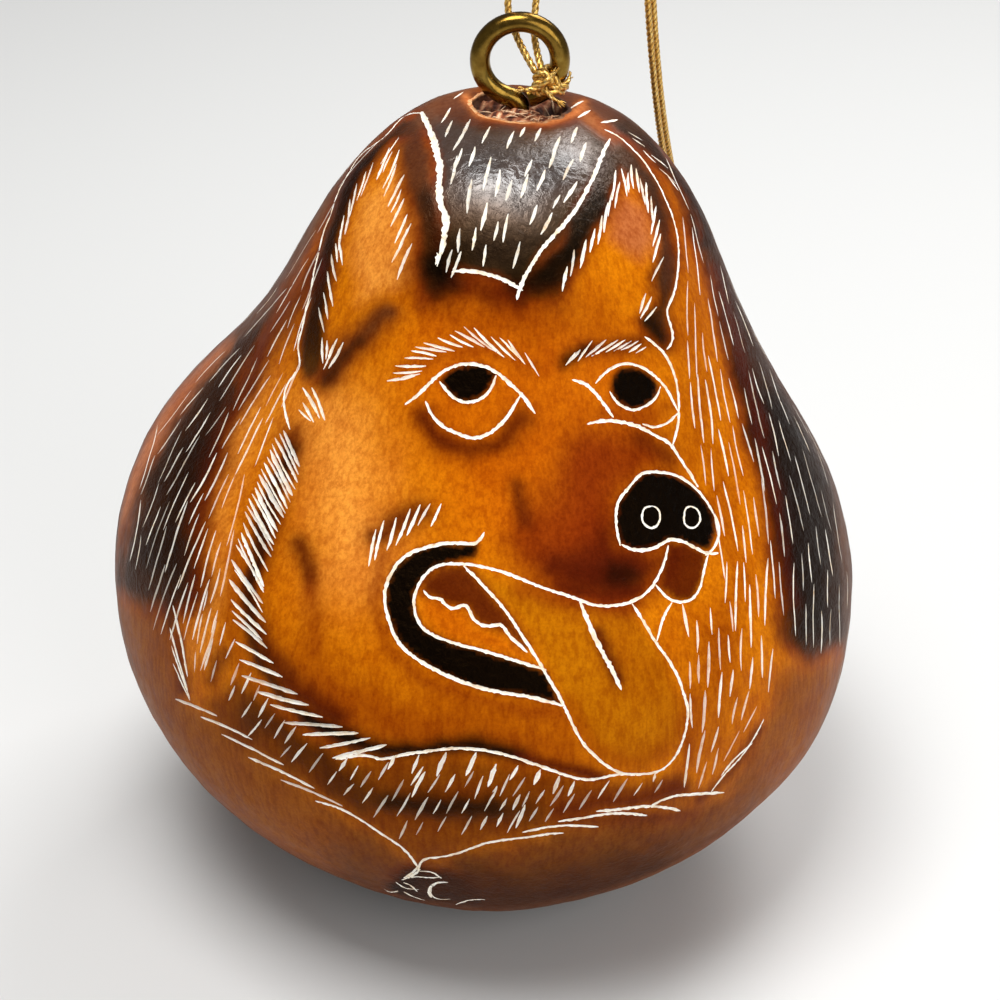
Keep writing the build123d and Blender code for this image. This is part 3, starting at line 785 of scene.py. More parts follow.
SMUDGES = {
    # Painted highlight: a pale colour laid on the left cheek where broad light falls on it
    "left cheek painted highlight": ("glow", 0.8, 44, [(330, 430), (350, 510), (356, 560)]),
    "ruff light": ("glow", 0.45, 14, [(262, 380), (240, 450), (222, 520), (214, 600), (200, 650)]),
    "right fur warm": ("amber", 0.5, 18, [
        (688, 240), (692, 330), (702, 420), (722, 500), (740, 580), (720, 650)]),
    "beside forehead dark": ("soot", 0.75, 13, [(430, 196), (436, 230), (438, 262)]),
    "above left eye": ("soot", 1.0, 21, [(434, 270), (446, 282)]),
    "above left eye core": ("soot", 0.9, 15, [(432, 272), (446, 284)]),
    "above nose": ("soot", 1.0, 17, [(516, 292), (548, 288)]),
    "above nose core": ("soot", 0.9, 13, [(528, 292), (546, 286)]),
    "along right ear": ("soot", 0.95, 14, [(552, 278), (574, 240), (598, 204)]),
    "below forehead": ("oxblood", 0.75, 12, [(466, 286), (490, 292), (516, 300)]),
    "brow warm": ("amber", 0.4, 24, [(470, 322), (560, 326), (600, 318)]),
    "crown left": ("cocoa", 0.9, 16, [(430, 104), (455, 98)]),
    "crown right": ("bark", 0.8, 12, [(596, 108), (630, 126)]),
    "stem halo": ("flame", 0.9, 5, [
        (466, 98), (478, 110), (502, 118), (535, 121), (568, 116), (584, 104)]),
    "stem halo wide": ("bark", 0.6, 8, [(450, 110), (480, 126), (540, 133), (590, 124)]),
    "ear to crown": ("flame", 0.4, 7, [(584, 112), (600, 126), (612, 142)]),
    "left mantle edge": ("oxblood", 0.7, 11, [
        (318, 268), (290, 312), (256, 366), (230, 418), (206, 478)]),
    "left mantle foot": ("oxblood", 0.6, 10, [(200, 500), (196, 560), (200, 600)]),
    "right mantle edge": ("oxblood", 0.6, 9, [
        (716, 270), (740, 350), (760, 430), (778, 520), (790, 600)]),
    "right of forehead": ("soot", 0.9, 12, [(604, 152), (594, 200), (566, 246), (544, 276)]),
    "right of ear": ("mantle", 0.85, 9, [(622, 126), (650, 146), (674, 172), (692, 204), (708, 240)]),
    # Painted sheen: a pale grey laid over the forehead's char where it shines
    "forehead painted sheen": ("slate", 0.7, 20, [(470, 165), (520, 150), (560, 160), (530, 200), (478, 196)]),
    "temple": ("bark", 0.85, 12, [(388, 314), (364, 335), (340, 358), (327, 377)]),
    "temple dark": ("soot", 0.5, 7, [(360, 342), (334, 368), (324, 384)]),
    "cheek spot": ("oxblood", 0.8, 9, [(297, 542), (303, 560), (311, 578)]),
    "cheek streak": ("rust", 0.6, 11, [(312, 590), (316, 625), (314, 648)]),
    "snout streak": ("oxblood", 0.75, 9, [(519, 488), (524, 506), (528, 522)]),
    "left lid shade": ("oxblood", 0.75, 11, [
        (424, 420), (440, 442), (468, 452), (500, 442), (522, 418)]),
    "left lid dark": ("oxblood", 0.5, 7, [(424, 416), (434, 434), (450, 444)]),
    "left brow shade": ("rust", 0.5, 11, [(400, 372), (440, 352), (490, 350), (530, 366)]),
    "right brow shade": ("oxblood", 0.75, 9, [(590, 348), (640, 344)]),
    "right brow spot": ("soot", 0.85, 8, [(566, 362), (584, 350)]),
    "right cheek dark": ("soot", 0.8, 9, [(652, 322), (662, 338)]),
    "right eye shade": ("rust", 0.5, 9, [(606, 412), (640, 418), (668, 410)]),
    "muzzle side": ("rust", 0.6, 26, [(584, 440), (592, 500), (580, 530)]),
    "muzzle low dark": ("oxblood", 0.8, 17, [(556, 566), (596, 572)]),
    "muzzle top dark": ("oxblood", 0.6, 12, [(640, 440), (668, 456)]),
    "lip dark": ("soot", 0.75, 12, [(612, 578), (632, 580)]),
    "lip edge": ("oxblood", 0.8, 6, [(560, 585), (600, 598), (640, 590)]),
    "hatch shade": ("oxblood", 0.85, 12, [(378, 535), (394, 524), (420, 512)]),
    "mouth halo": ("rust", 0.6, 9, [
        (382, 560), (374, 600), (386, 645), (420, 680), (480, 700), (560, 716)]),
    "tongue shade": ("oxblood", 0.9, 6, [(598, 632), (606, 654), (618, 680)]),
    "tongue root": ("rust", 0.6, 10, [(520, 590), (580, 606), (630, 606)]),
    "tongue edge": ("amber", 0.5, 10, [(570, 700), (590, 742), (630, 765), (668, 750)]),
    "ruff shade": ("oxblood", 0.85, 10, [
        (290, 436), (284, 480), (266, 530), (252, 580), (256, 620), (268, 654), (300, 690),
        (340, 716)]),
    "ruff core": ("soot", 0.8, 9, [
        (293, 446), (284, 470), (272, 495), (262, 525), (254, 560), (248, 590), (249, 615), (252, 640),
        (262, 665), (285, 698), (320, 725), (355, 740)]),
    "ruff root": ("amber", 0.6, 9, [
        (236, 545), (230, 590), (232, 640), (246, 676), (280, 716), (330, 745)]),
    "fur dark left": ("oxblood", 0.75, 8, [(196, 580), (190, 610)]),
    "fur dark low": ("oxblood", 0.65, 8, [(222, 655), (212, 680)]),
    "jaw dark": ("soot", 0.97, 9, [
        (306, 716), (344, 738), (384, 752), (430, 747), (480, 745), (520, 755)]),
    "jaw dark right": ("oxblood", 0.85, 6, [(520, 756), (560, 768), (600, 774)]),
    "throat dark": ("umber", 0.75, 17, [
        (250, 712), (300, 752), (360, 792), (420, 806), (480, 808), (520, 812)]),
    "throat core": ("soot", 0.75, 11, [(390, 803), (440, 806), (500, 808)]),
    "throat dark right": ("oxblood", 0.6, 8, [(560, 806), (620, 800), (680, 790)]),
    "collar dark left": ("oxblood", 0.8, 6, [(178, 640), (184, 690)]),
    "collar dark top": ("soot", 0.6, 7, [(170, 606), (172, 626)]),
    "collar dark right": ("oxblood", 0.6, 5, [(700, 800), (730, 775), (760, 728)]),
    "collar dark low": ("oxblood", 0.5, 6, [(560, 822), (640, 818), (690, 812)]),
    "throat right warm": ("amber", 0.55, 26, [(712, 640), (708, 740)]),
    "under tongue": ("rust", 0.6, 9, [(692, 700), (688, 760)]),
    "base shade": ("umber", 0.9, 24, [(430, 888), (500, 896), (580, 896), (660, 868)]),
}
PAINT_WAVER = 0.32
PAINT_SOFTEST = 18
PAINT_LUMPS = ([(1.0, 2.6, 11), (0.5, 0.8, 14)], [(1.0, 2.6, 12), (0.5, 0.8, 15)])
PATCH_SCORCH = 1.6
STROKE_SCORCH = 1.7

# Where the char is waxed to a shine, in pixels
SHEEN_LINE = [(475, 168), (520, 178), (566, 166)]
SHEEN_RADIUS = 46.0

# Light of the paint below which char cracks or shines, and how much less light makes it full
CHAR_LIGHT = (0.07, 0.05)
GLOSS_LIGHT = (0.12, 0.04)

# How the unseen back is coloured, by rise in degrees, from the foot up to the crown
BACK_COLOURS = [(-60, "umber"), (-18, "tan"), (-8, "cocoa"), (4, "bark"), (74, "bark"), (84, "cocoa")]
BACK_LUMPS = [(0.06, 7.0, 13)]
SEEN_FROM = -0.02
SEEN_FADE = 0.22


def linear(colour):
    """A colour as seen, from 0 to 255, as linear light."""
    share = np.array(colour, float) / 255
    return np.where(share < 0.04045, share / 12.92, ((share + 0.055) / 1.055) ** 2.4)


def distance_to_line(places, line):
    """Distance of every place from a line of straight runs."""
    best = np.full(len(places), 1e9)
    line = np.array(line, float)
    for a, b in zip(line[:-1], line[1:]):
        run = b - a
        share = np.clip(((places - a) @ run) / max(run @ run, 1e-9), 0, 1)
        best = np.minimum(best, np.linalg.norm(places - a - share[:, None] * run, axis=1))
    return best


def inside_outline(places, outline):
    """Which places lie inside a closed outline."""
    inside = np.zeros(len(places), bool)
    x = places[:, 0]
    y = places[:, 1]
    for (ax, ay), (bx, by) in pairs_round(outline):
        crosses = (ay > y) != (by > y)
        with np.errstate(divide="ignore", invalid="ignore"):
            cut = ax + (y - ay) * (bx - ax) / (by - ay)
        inside ^= crosses & (x < cut)
    return inside


def soft_step(value):
    """A smooth rise from 0 to 1."""
    t = np.clip(value, 0, 1)
    return t * t * (3 - 2 * t)


def laid(under, name, share):
    """Paint laid over the colours under it."""
    return under * (1 - share[:, None]) + linear(COLOURS[name]) * share[:, None]


def back_colours(points, rise):
    """Colours of the unseen back, in uneven bands by rise."""
    spots = np.radians([deg for deg, _ in BACK_COLOURS])
    table = np.array([linear(COLOURS[name]) for _, name in BACK_COLOURS])
    level = rise + rough(points, BACK_LUMPS)
    return np.stack([np.interp(level, spots, table[:, k]) for k in range(3)], 1)


def paint(points, rise, facing):
    """The burnt colour of every skin point, as linear light."""
    places = pixels_of(points)
    waver = np.stack([rough(points, layers) for layers in PAINT_LUMPS], 1)
    front = np.tile(linear(COLOURS["honey"]), (len(points), 1))
    strokes = [(1, patch) for patch in PATCHES.values()]
    strokes += [(0, smudge) for smudge in SMUDGES.values()]
    strokes += [(1, patch) for patch in INKED.values()]
    for closed, (name, strength, softness, line) in strokes:
        moved = places + waver * min(softness, PAINT_SOFTEST) * PAINT_WAVER
        far = distance_to_line(moved, line + line[:closed]) / softness
        if closed:
            far = np.where(inside_outline(moved, line), far, -far)
            scorch = soft_step(1.0 + far / PATCH_SCORCH)
            share = soft_step(0.5 + far / 2)
        else:
            scorch = np.exp(-(far / STROKE_SCORCH) ** 2)
            share = np.exp(-far ** 2)
        if name in BURNT:
            front = np.minimum(front, laid(front, SCORCH, SCORCH_SHARE * strength * scorch))
        front = laid(front, name, strength * share)
    seen = soft_step((facing - SEEN_FROM) / SEEN_FADE)[:, None]
    return back_colours(points, rise) * (1 - seen) + front * seen


# Engraving as narrow tapered ribbons on the flat map. Each kind of cut has a step between its
# points in pixels, a raggedness, and a share of its width that its tips keep

HANDS = {"line": (2.6, 0.34, 0.45), "cut": (4.0, 0.24, 0.3), "fur": (6.0, 0.16, 0.2)}
TIP_LENGTH = 0.8
TIP_SHARE = 0.45
TIP_REACH = 1.6
TAPER_POWER = 0.7
MIDDLE_SPACING = 0.06
DEPTH_SHARE = 0.42
CUT_EDGE_SHARE = 0.98
LEAST_FACING = 0.09
SWAY_WIDTHS = (0.85, 1.1)
CUT_WIDTHS = (0.8, 1.15)
FUR_WIDTHS = (0.7, 1.2)
BACK_WIDTHS = (0.75, 1.2)
CUT_WORN = (0.0, 0.35)
FUR_WORN = (0.1, 0.62)
CUT_BOW = 0.03


class Ribbons:
    """Outlines and middle lines of all the cuts, on the flat map."""

    def __init__(self):
        self.places = []
        self.edges = []
        self.middles = []

    def add(self, pixels, width, worn, hand):
        """One cut along a line of pixels, where the skin is seen."""
        line = evenly(pixels, HANDS[hand][0])
        rise, turn, met = skin_under(line)
        met &= facing_camera(skin_points(rise, turn), skin_normals(rise, turn)) > LEAST_FACING
        run = longest_run(met)
        if run.stop - run.start >= 3:
            self.lay(rise[run], turn[run], width, worn, hand)

    def add_place(self, place):
        """Adds one place of an outline and gives its number."""
        self.places.append(place)
        return len(self.places) - 1

    def lay(self, rise, turn, width, worn, hand):
        """One cut along skin angles, this wide in millimetres at its widest."""
        _, ragged, blunt = HANDS[hand]
        middle = to_map(rise, turn)
        scale = map_scale(rise)
        along = np.gradient(middle, axis=0)
        along /= np.maximum(np.linalg.norm(along, axis=1), 1e-9)[:, None]
        count = len(middle)
        length = walked(skin_points(rise, turn))[-1]
        share = np.linspace(0, 1, count)
        tip = min(TIP_LENGTH / length, TIP_SHARE)
        taper = np.clip(np.minimum(share, 1 - share) / tip, 0, 1) ** TAPER_POWER
        sway = np.array([chance.uniform(*SWAY_WIDTHS) for _ in range(count)])
        half = width / 2 * (blunt + (1 - blunt) * taper) * sway
        left = []
        right = []
        for k in range(count):
            for sign, chain in ((1, left), (-1, right)):
                reach = half[k] * (1 + chance.uniform(-ragged, ragged)) * scale[k]
                chain.append(self.add_place(middle[k] + left_of(along[k]) * sign * reach))
        inner = [self.add_place(place) for place in middle[1:-1]]
        point = along * (half * scale * TIP_REACH)[:, None]
        first = self.add_place(middle[0] - point[0])
        last = self.add_place(middle[-1] + point[-1])
        self.edges += pairs_round([first] + left + [last] + right[::-1])
        self.edges += list(zip(inner, inner[1:]))
        spots = np.linspace(0, count - 1, max(int(length / MIDDLE_SPACING), 4))
        values = (middle[:, 0], middle[:, 1], half, scale)
        columns = [np.interp(spots, np.arange(count), value) for value in values]
        self.middles += [(*row, worn) for row in zip(*columns)]


def fur_dashes(lengths, spacing, guides):
    """The fur cuts of one field in pixels, spread evenly but by hand's chance."""
    flows = [evenly(curve_through(guide), FLOW_STEP) for guide in guides]
    table = np.stack([flow[np.linspace(0, len(flow) - 1, FLOW_COUNT).astype(int)] for flow in flows])
    end = FLOW_COUNT - 1
    spots = np.zeros((FUR_TRIES, 2))
    reaches = np.zeros(FUR_TRIES)
    dashes = []
    for _ in range(FUR_TRIES):
        across = chance.uniform(0, len(flows) - 1)
        start = int(chance.uniform(0, end))
        row = min(int(across), len(flows) - 2)
        mix = across - row
        flow = table[row] * (1 - mix) + table[row + 1] * mix
        spot = flow[start]
        way = flow[min(start + FLOW_REACH, end)] - flow[max(start - FLOW_REACH, 0)]
        way = way / np.linalg.norm(way)
        length = chance.uniform(*lengths) * PIXELS_PER_MM
        count = len(dashes)
        if count:
            gap = spots[:count] - spot
            ahead = gap @ way / ((reaches[:count] + length) * FUR_ROOM)
            aside = gap @ left_of(way) / spacing
            if np.min(ahead ** 2 + aside ** 2) < 1:
                continue
        spots[count] = spot
        reaches[count] = length
        turned = math.radians(chance.gauss(0, FUR_SWAY_DEG))
        way = way * math.cos(turned) + left_of(way) * math.sin(turned)
        bow = left_of(way) * chance.uniform(-FUR_BOW, FUR_BOW) * length
        dashes.append(np.array([spot - way * length / 2, spot + bow, spot + way * length / 2]))
    return dashes


def back_fur(ribbons):
    """Short cuts that carry the mantle's fur round the back, which the photograph doesn't show."""
    spots = np.zeros((BACK_TRIES, 3))
    count = 0
    for _ in range(BACK_TRIES):
        rise = math.radians(chance.uniform(*BACK_RISE_DEG))
        turn = math.radians(chance.uniform(*BACK_TURN_DEG))
        length = chance.uniform(*BACK_LENGTH)
        slant = chance.gauss(0, BACK_SLANT)
        reach = np.interp(rise, profile_rise, profile_reach)
        drop = np.linspace(-0.5, 0.5, BACK_POINTS) * length / reach
        rises = rise - drop
        turns = turn + slant * drop / math.cos(rise)
        line = skin_points(rises, turns)
        if np.max(facing_camera(line, skin_normals(rises, turns))) > BACK_FACING:
            continue
        gap = spots[:count] - line[2]
        way = (line[3] - line[1]) / np.linalg.norm(line[3] - line[1])
        ahead = gap @ way
        aside = np.linalg.norm(gap - ahead[:, None] * way, axis=1)
        if count and np.min((ahead / length) ** 2 + (aside / BACK_SPACING_ASIDE) ** 2) < 1:
            continue
        spots[count] = line[2]
        count += 1
        wide = BACK_WIDTH * chance.uniform(*BACK_WIDTHS)
        ribbons.lay(rises, turns, wide, chance.uniform(*FUR_WORN), "fur")


def engrave():
    """All the cuts of the ornament."""
    ribbons = Ribbons()
    for width, points in CONTOURS.values():
        ribbons.add(curve_through(points), width, 0.0, "line")
    for width, cuts in CUTS.values():
        for cut in cuts:
            start = np.array(cut[:2], float)
            way = np.array(cut[2:]) - start
            bow = left_of(way) * chance.uniform(-CUT_BOW, CUT_BOW)
            wide = width * chance.uniform(*CUT_WIDTHS)
            line = curve_through([start, start + way / 2 + bow, start + way])
            ribbons.add(line, wide, chance.uniform(*CUT_WORN), "cut")
    for width, lengths, spacing, guides in FUR_FIELDS.values():
        for dash in fur_dashes(lengths, spacing, guides):
            wide = width * chance.uniform(*FUR_WIDTHS)
            ribbons.add(curve_through(dash), wide, chance.uniform(*FUR_WORN), "fur")
    back_fur(ribbons)
    return ribbons


# Ragged edge of the stem hole

RIM_COUNT = 120
RIM_TORN = 0.32
RIM_DIP = 0.18
RIM_DIP_SPREAD = 0.9
RIM_LAYERS = [(0.12, 1.1, 21), (0.05, 0.35, 22)]
RIM_SETTLING = 12


def round_stem(turn, reach, height):
    """Places round the stem's axis."""
    x = STEM_X + reach * np.cos(turn)
    y = STEM_Y + reach * np.sin(turn)
    return np.stack([x, y, np.full_like(turn, height)], 1)


def stem_distance(points):
    """How far points are from the stem's axis."""
    return np.hypot(points[:, 0] - STEM_X, points[:, 1] - STEM_Y)


def rim_reach(turn, extra=0.0):
    """Radius of the stem hole's ragged edge at this turn."""
    spot = np.stack([np.cos(turn), np.sin(turn)], 1) * STEM_RADIUS
    return STEM_RADIUS + extra + rough(spot, RIM_LAYERS) * (1 + extra)


def rim_angles(turn, extra):
    """Skin angles of the stem hole's edge."""
    reach = rim_reach(turn, extra)
    height = CROWN[2]
    for _ in range(RIM_SETTLING):
        rise, about, _ = to_gourd(round_stem(turn, reach, height))
        height = skin_points(rise, about)[:, 2]
    return rise, about


# Background points of the skin: spacing in millimetres in each zone, and where the zones are

CROWN_ZONE, FACE_ZONE, FRONT_ZONE, BACK_ZONE = range(4)
SPACINGS = {CROWN_ZONE: 0.3, FACE_ZONE: 0.36, FRONT_ZONE: 0.62, BACK_ZONE: 1.0}
ROW_SHARE = 0.87
ROOM_SHARE = 0.45
FACE_ACROSS = (225, 800)
FACE_DOWN = (100, 850)
FACE_FACING = 0.15
CROWN_BAND = 2.2
CROWN_RISE = 1.0
FOOT_EDGE_DEG = -86
FOOT_MARGIN_DEG = 0.6
FOOT_SIDES = 40
SAME_PLACE = 1e-6


def ring_points(spacing):
    """Staggered rings of skin angles, this far apart all over."""
    reach = np.concatenate([[0], np.cumsum(map_step)])
    rises = []
    turns = []
    for row in range(1, int(reach[-1] / (spacing * ROW_SHARE))):
        rise = np.interp(row * spacing * ROW_SHARE, reach, map_rise)
        ring = np.interp(rise, map_rise, map_ring)
        count = max(int(2 * math.pi * ring / spacing), 7)
        turn = (np.arange(count) + 0.5 * (row % 2)) * 2 * math.pi / count
        rises.append(np.full(count, rise))
        turns.append((turn + math.pi) % (2 * math.pi) - math.pi)
    return np.concatenate(rises), np.concatenate(turns)


def skin_zones(rise, turn):
    """Which zone the skin is in at these angles."""
    points = skin_points(rise, turn)
    across, down = pixels_of(points).T
    facing = facing_camera(points, skin_normals(rise, turn))
    face = (across > FACE_ACROSS[0]) & (across < FACE_ACROSS[1])
    face &= (down > FACE_DOWN[0]) & (down < FACE_DOWN[1]) & (facing > FACE_FACING)
    crown = (stem_distance(points) < STEM_RADIUS + CROWN_BAND) & (rise > CROWN_RISE)
    return np.select([crown, face, facing > 0.0], [CROWN_ZONE, FACE_ZONE, FRONT_ZONE], BACK_ZONE)


def tree_of(places):
    """A tree that finds the nearest of these map places."""
    tree = kdtree.KDTree(len(places))
    for k, (x, y) in enumerate(places):
        tree.insert((x, y, 0.0), k)
    tree.balance()
    return tree


def background(places):
    """Map places that fill the skin between the ones that it has."""
    tree = tree_of(places)
    kept = []
    for zone, spacing in SPACINGS.items():
        rise, turn = ring_points(spacing)
        chosen = (skin_zones(rise, turn) == zone) & (rise > math.radians(FOOT_EDGE_DEG + FOOT_MARGIN_DEG))
        spots = to_map(rise[chosen], turn[chosen])
        room = map_scale(rise[chosen]) * spacing * ROOM_SHARE
        for (x, y), least in zip(spots, room):
            if tree.find((x, y, 0.0))[2] > least:
                kept.append((x, y))
    return kept


# Meshes and materials

WHITE = (255, 255, 255)
BLACK = (0, 0, 0)


def add_object(name, data):
    """A new object in the scene."""
    thing = bpy.data.objects.new(name, data)
    bpy.context.scene.collection.objects.link(thing)
    return thing


def make_piece(name, points, faces, body, replaced):
    """A smooth mesh piece from points in millimetres, riding on its body."""
    mesh = bpy.data.meshes.new(name)
    mesh.from_pydata((np.asarray(points) * MM).tolist(), [], faces)
    mesh.update()
    mesh.polygons.foreach_set("use_smooth", [True] * len(mesh.polygons))
    piece = add_object(name, mesh)
    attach(piece, body)
    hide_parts(*replaced)
    return piece


def add_part(points, faces, more, sides):
    """Adds one closed part to the points and faces of a piece."""
    base = len(points)
    points += more
    faces += [tuple(base + k for k in side) for side in sides]


def add_layer(mesh, name, values):
    """Stores a linear colour or a shade on every point of a mesh."""
    layer = mesh.color_attributes.new(name, "FLOAT_COLOR", "POINT")
    colours = np.ones((len(values), 4))
    colours[:, :3] = np.reshape(values, (len(values), -1))
    layer.data.foreach_set("color", colours.ravel())


class Nodes:
    """A short way to write a material's nodes."""

    def __init__(self, name):
        self.material = bpy.data.materials.new(name)
        self.material.use_nodes = True
        self.tree = self.material.node_tree
        self.shader = self.tree.nodes["Principled BSDF"]

    def add(self, kind, links=None, **settings):
        """One node, with values for its sockets and its settings."""
        node = self.tree.nodes.new(kind)
        for key, value in settings.items():
            setattr(node, key, value)
        for key, value in (links or {}).items():
            self.put(node.inputs[key], value)
        return node

    def put(self, socket, value):
        """Sets a socket, or links it to another."""
        if isinstance(value, bpy.types.NodeSocket):
            self.tree.links.new(value, socket)
        else:
            socket.default_value = value

    def surface(self, **values):
        """Sets the shader's sockets by name, with _ for a space."""
        for key, value in values.items():
            self.put(self.shader.inputs[key.replace("_", " ")], value)

    def layer(self, name):
        """A layer that is stored on the mesh's points."""
        return self.add("ShaderNodeVertexColor", layer_name=name).outputs["Color"]

    def noise(self, scale, detail=4.0, roughness=0.55, vector=None, distortion=0.0):
        """Noise over the object's own space, its scale in lumps a metre."""
        links = {"Scale": scale, "Detail": detail, "Roughness": roughness, "Distortion": distortion}
        node = self.add("ShaderNodeTexNoise", links)
        self.put(node.inputs["Vector"], vector or self.place())
        return node.outputs["Fac"]

    def place(self, stretch=(1.0, 1.0, 1.0)):
        """The object's own space, stretched."""
        spot = self.add("ShaderNodeTexCoord").outputs["Object"]
        return self.add("ShaderNodeMapping", {"Vector": spot, "Scale": stretch}).outputs["Vector"]

    def height(self):
        """Height in the object's own space, in metres."""
        return self.add("ShaderNodeSeparateXYZ", {"Vector": self.place()}).outputs["Z"]

    def ramp(self, factor, stops):
        """Colours over a factor, each stop a place and a colour as seen."""
        node = self.add("ShaderNodeValToRGB", {"Fac": factor})
        while len(node.color_ramp.elements) < len(stops):
            node.color_ramp.elements.new(0.5)
        for element, (spot, colour) in zip(node.color_ramp.elements, stops):
            element.position = spot
            element.color = (*linear(colour), 1.0)
        return node.outputs["Color"]

    def mix(self, factor, a, b, blend="MIX"):
        """Two colours mixed."""
        node = self.add("ShaderNodeMix", data_type="RGBA", blend_type=blend)
        self.put(node.inputs[0], factor)
        for socket, value in ((node.inputs[6], a), (node.inputs[7], b)):
            if isinstance(value, tuple) and len(value) == 3:
                value = (*linear(value), 1.0)
            self.put(socket, value)
        return node.outputs[2]

    def tinted(self, colour, share, factor, stops):
        """A colour multiplied by a share of a ramp."""
        return self.mix(share, colour, self.ramp(factor, stops), "MULTIPLY")

    def scaled(self, value, low, high, to_low, to_high):
        """A value moved from one range to another."""
        links = {"Value": value, "From Min": low, "From Max": high, "To Min": to_low, "To Max": to_high}
        return self.add("ShaderNodeMapRange", links).outputs["Result"]

    def bump(self, height, distance, strength=1.0, normal=None):
        """A bumped normal, its distance in metres."""
        node = self.add("ShaderNodeBump", {"Height": height, "Distance": distance, "Strength": strength})
        if normal:
            self.put(node.inputs["Normal"], normal)
        return node.outputs["Normal"]


def skin_material():
    """Waxed gourd skin in its burnt colours, with fibres, mottling and cracked char."""
    n = Nodes("burnt gourd skin")
    char = n.layer("char")
    gloss = n.layer("gloss")
    mottle = n.noise(900, 4.0, 0.6)
    clouds = n.noise(260, 3.0, 0.5)
    grain = n.noise(4600, 3.0, 0.6)
    streaks = n.noise(2400, 3.0, 0.6, n.place((1.0, 1.0, 0.2)))
    crackle = n.noise(1500, 4.0, 0.62, distortion=0.6)
    spots = [(0.3, (226, 200, 170)), (0.5, (244, 238, 230)), (0.7, (255, 254, 252))]
    colour = n.tinted(n.layer("burn"), 0.3, mottle, spots)
    colour = n.tinted(colour, 0.6, clouds, [(0.35, (226, 202, 176)), (0.6, WHITE)])
    colour = n.tinted(colour, 0.45, grain, [(0.36, (212, 186, 160)), (0.6, WHITE)])
    streaky = n.scaled(char, 0.0, 1.0, 0.5, 0.1)
    colour = n.tinted(colour, streaky, streaks, [(0.36, (198, 156, 118)), (0.58, WHITE)])
    cracks = n.add("ShaderNodeMath", {0: crackle, 1: char}, operation="MULTIPLY").outputs[0]
    normal = n.bump(cracks, 0.00022, 0.9, n.bump(grain, 0.00002, 0.6))
    roughness = n.mix(gloss, n.scaled(mottle, 0.3, 0.7, 0.36, 0.5), (116, 116, 116))
    n.surface(Base_Color=colour, Roughness=roughness, Normal=normal)
    n.surface(Specular_IOR_Level=n.scaled(gloss, 0.0, 1.0, 0.05, 1.0))
    n.surface(Specular_Tint=n.mix(gloss, (255, 186, 112), WHITE))
    return n.material


def cut_material():
    """Pale flesh of the rind where the graver has gone through the skin."""
    n = Nodes("cut rind")
    fibres = n.noise(2200, 4.0, 0.7)
    dirt = n.noise(700, 3.0, 0.5)
    colour = n.ramp(fibres, [(0.25, (228, 192, 146)), (0.4, (252, 240, 218)), (0.6, (255, 252, 244))])
    colour = n.tinted(colour, 0.6, dirt, [(0.3, (226, 194, 156)), (0.48, WHITE)])
    colour = n.mix(n.layer("worn"), colour, n.layer("burn"))
    n.surface(Base_Color=colour, Roughness=0.8, Normal=n.bump(fibres, 0.00005, 0.8))
    n.surface(Specular_IOR_Level=0.2)
    return n.material


def torn_material():
    """Torn rind round the stem hole, pale at its edge and browner down inside, its dark depths painted
    shade.
    """
    n = Nodes("torn rind")
    fibres = n.noise(1600, 5.0, 0.7, n.place((1.0, 1.0, 3.0)))
    drop = n.scaled(n.height(), PLUG_TOP * MM, CROWN[2] * MM, 0.0, 1.0)
    pale = n.ramp(fibres, [(0.28, (170, 84, 34)), (0.45, (232, 146, 80)), (0.64, (255, 206, 148))])
    # Painted shade: the wall darkens to near black down inside the hole
    deep = n.ramp(fibres, [(0.3, (36, 18, 8)), (0.6, (104, 58, 26))])
    colour = n.mix(n.ramp(drop, [(0.35, BLACK), (0.8, WHITE)]), deep, pale)
    n.surface(Base_Color=colour, Roughness=0.75, Normal=n.bump(fibres, 0.00015, 0.9))
    return n.material


def fibre_material(name, scale, detail, stops, roughness, relief):
    """Dry matter in fine fibres, its relief in metres."""
    n = Nodes(name)
    fibres = n.noise(scale, detail, 0.6)
    n.surface(Base_Color=n.ramp(fibres, stops), Roughness=roughness, Normal=n.bump(fibres, relief, 0.6))
    return n.material


# Carved skin, and which material its parts have

SKIN, CUT, TORN, INSIDE = range(4)
CAVITY_SHARES = [0.0, 0.1, 0.2, 0.3, 0.4, 0.5, 0.6, 0.7]
CAVITY_STEP = 0.1
WALL_DROPS = [(0.25, -0.10), (0.6, 0.02), (1.1, 0.10), (1.7, 0.0), (2.6, 0.0), (5.0, 0.0)]
WALL_RIPPLE = 0.12
RIPPLE_COUNT = 9
RIPPLE_TWIST = 5
THROAT_DROP = 1.5
HOLLOW_RINGS = 30
HOLLOW_FLOOR_DEG = -87
HOLLOW_SETTLING = 20
SKIN_LUMPS = [(0.10, 6.0, 31), (0.03, 1.6, 32)]


def cavity_reach(rise):
    """Distance of the cavity's wall from the belly's middle at this rise."""
    along = walked(profile)
    inner = []
    for share in CAVITY_SHARES:
        walks = share * along[-1] + np.array([0.0, CAVITY_STEP])
        spot, ahead = np.stack([np.interp(walks, along, profile[:, k]) for k in (0, 1)], 1)
        way = (ahead - spot) / np.linalg.norm(ahead - spot)
        inner.append(spot + left_of(way) * WALL)
    inner[0] = (0.0, WALL - FOOT_REACH)
    inner.append((0.0, CROWN_REACH - CROWN_THICKNESS))
    edge = curve_through(inner, (1, 0), (-1, 0), per_span=40)
    reach = np.hypot(edge[:, 0], edge[:, 1])
    return np.interp(rise, np.arctan2(edge[:, 1], np.maximum(edge[:, 0], 0)), reach)


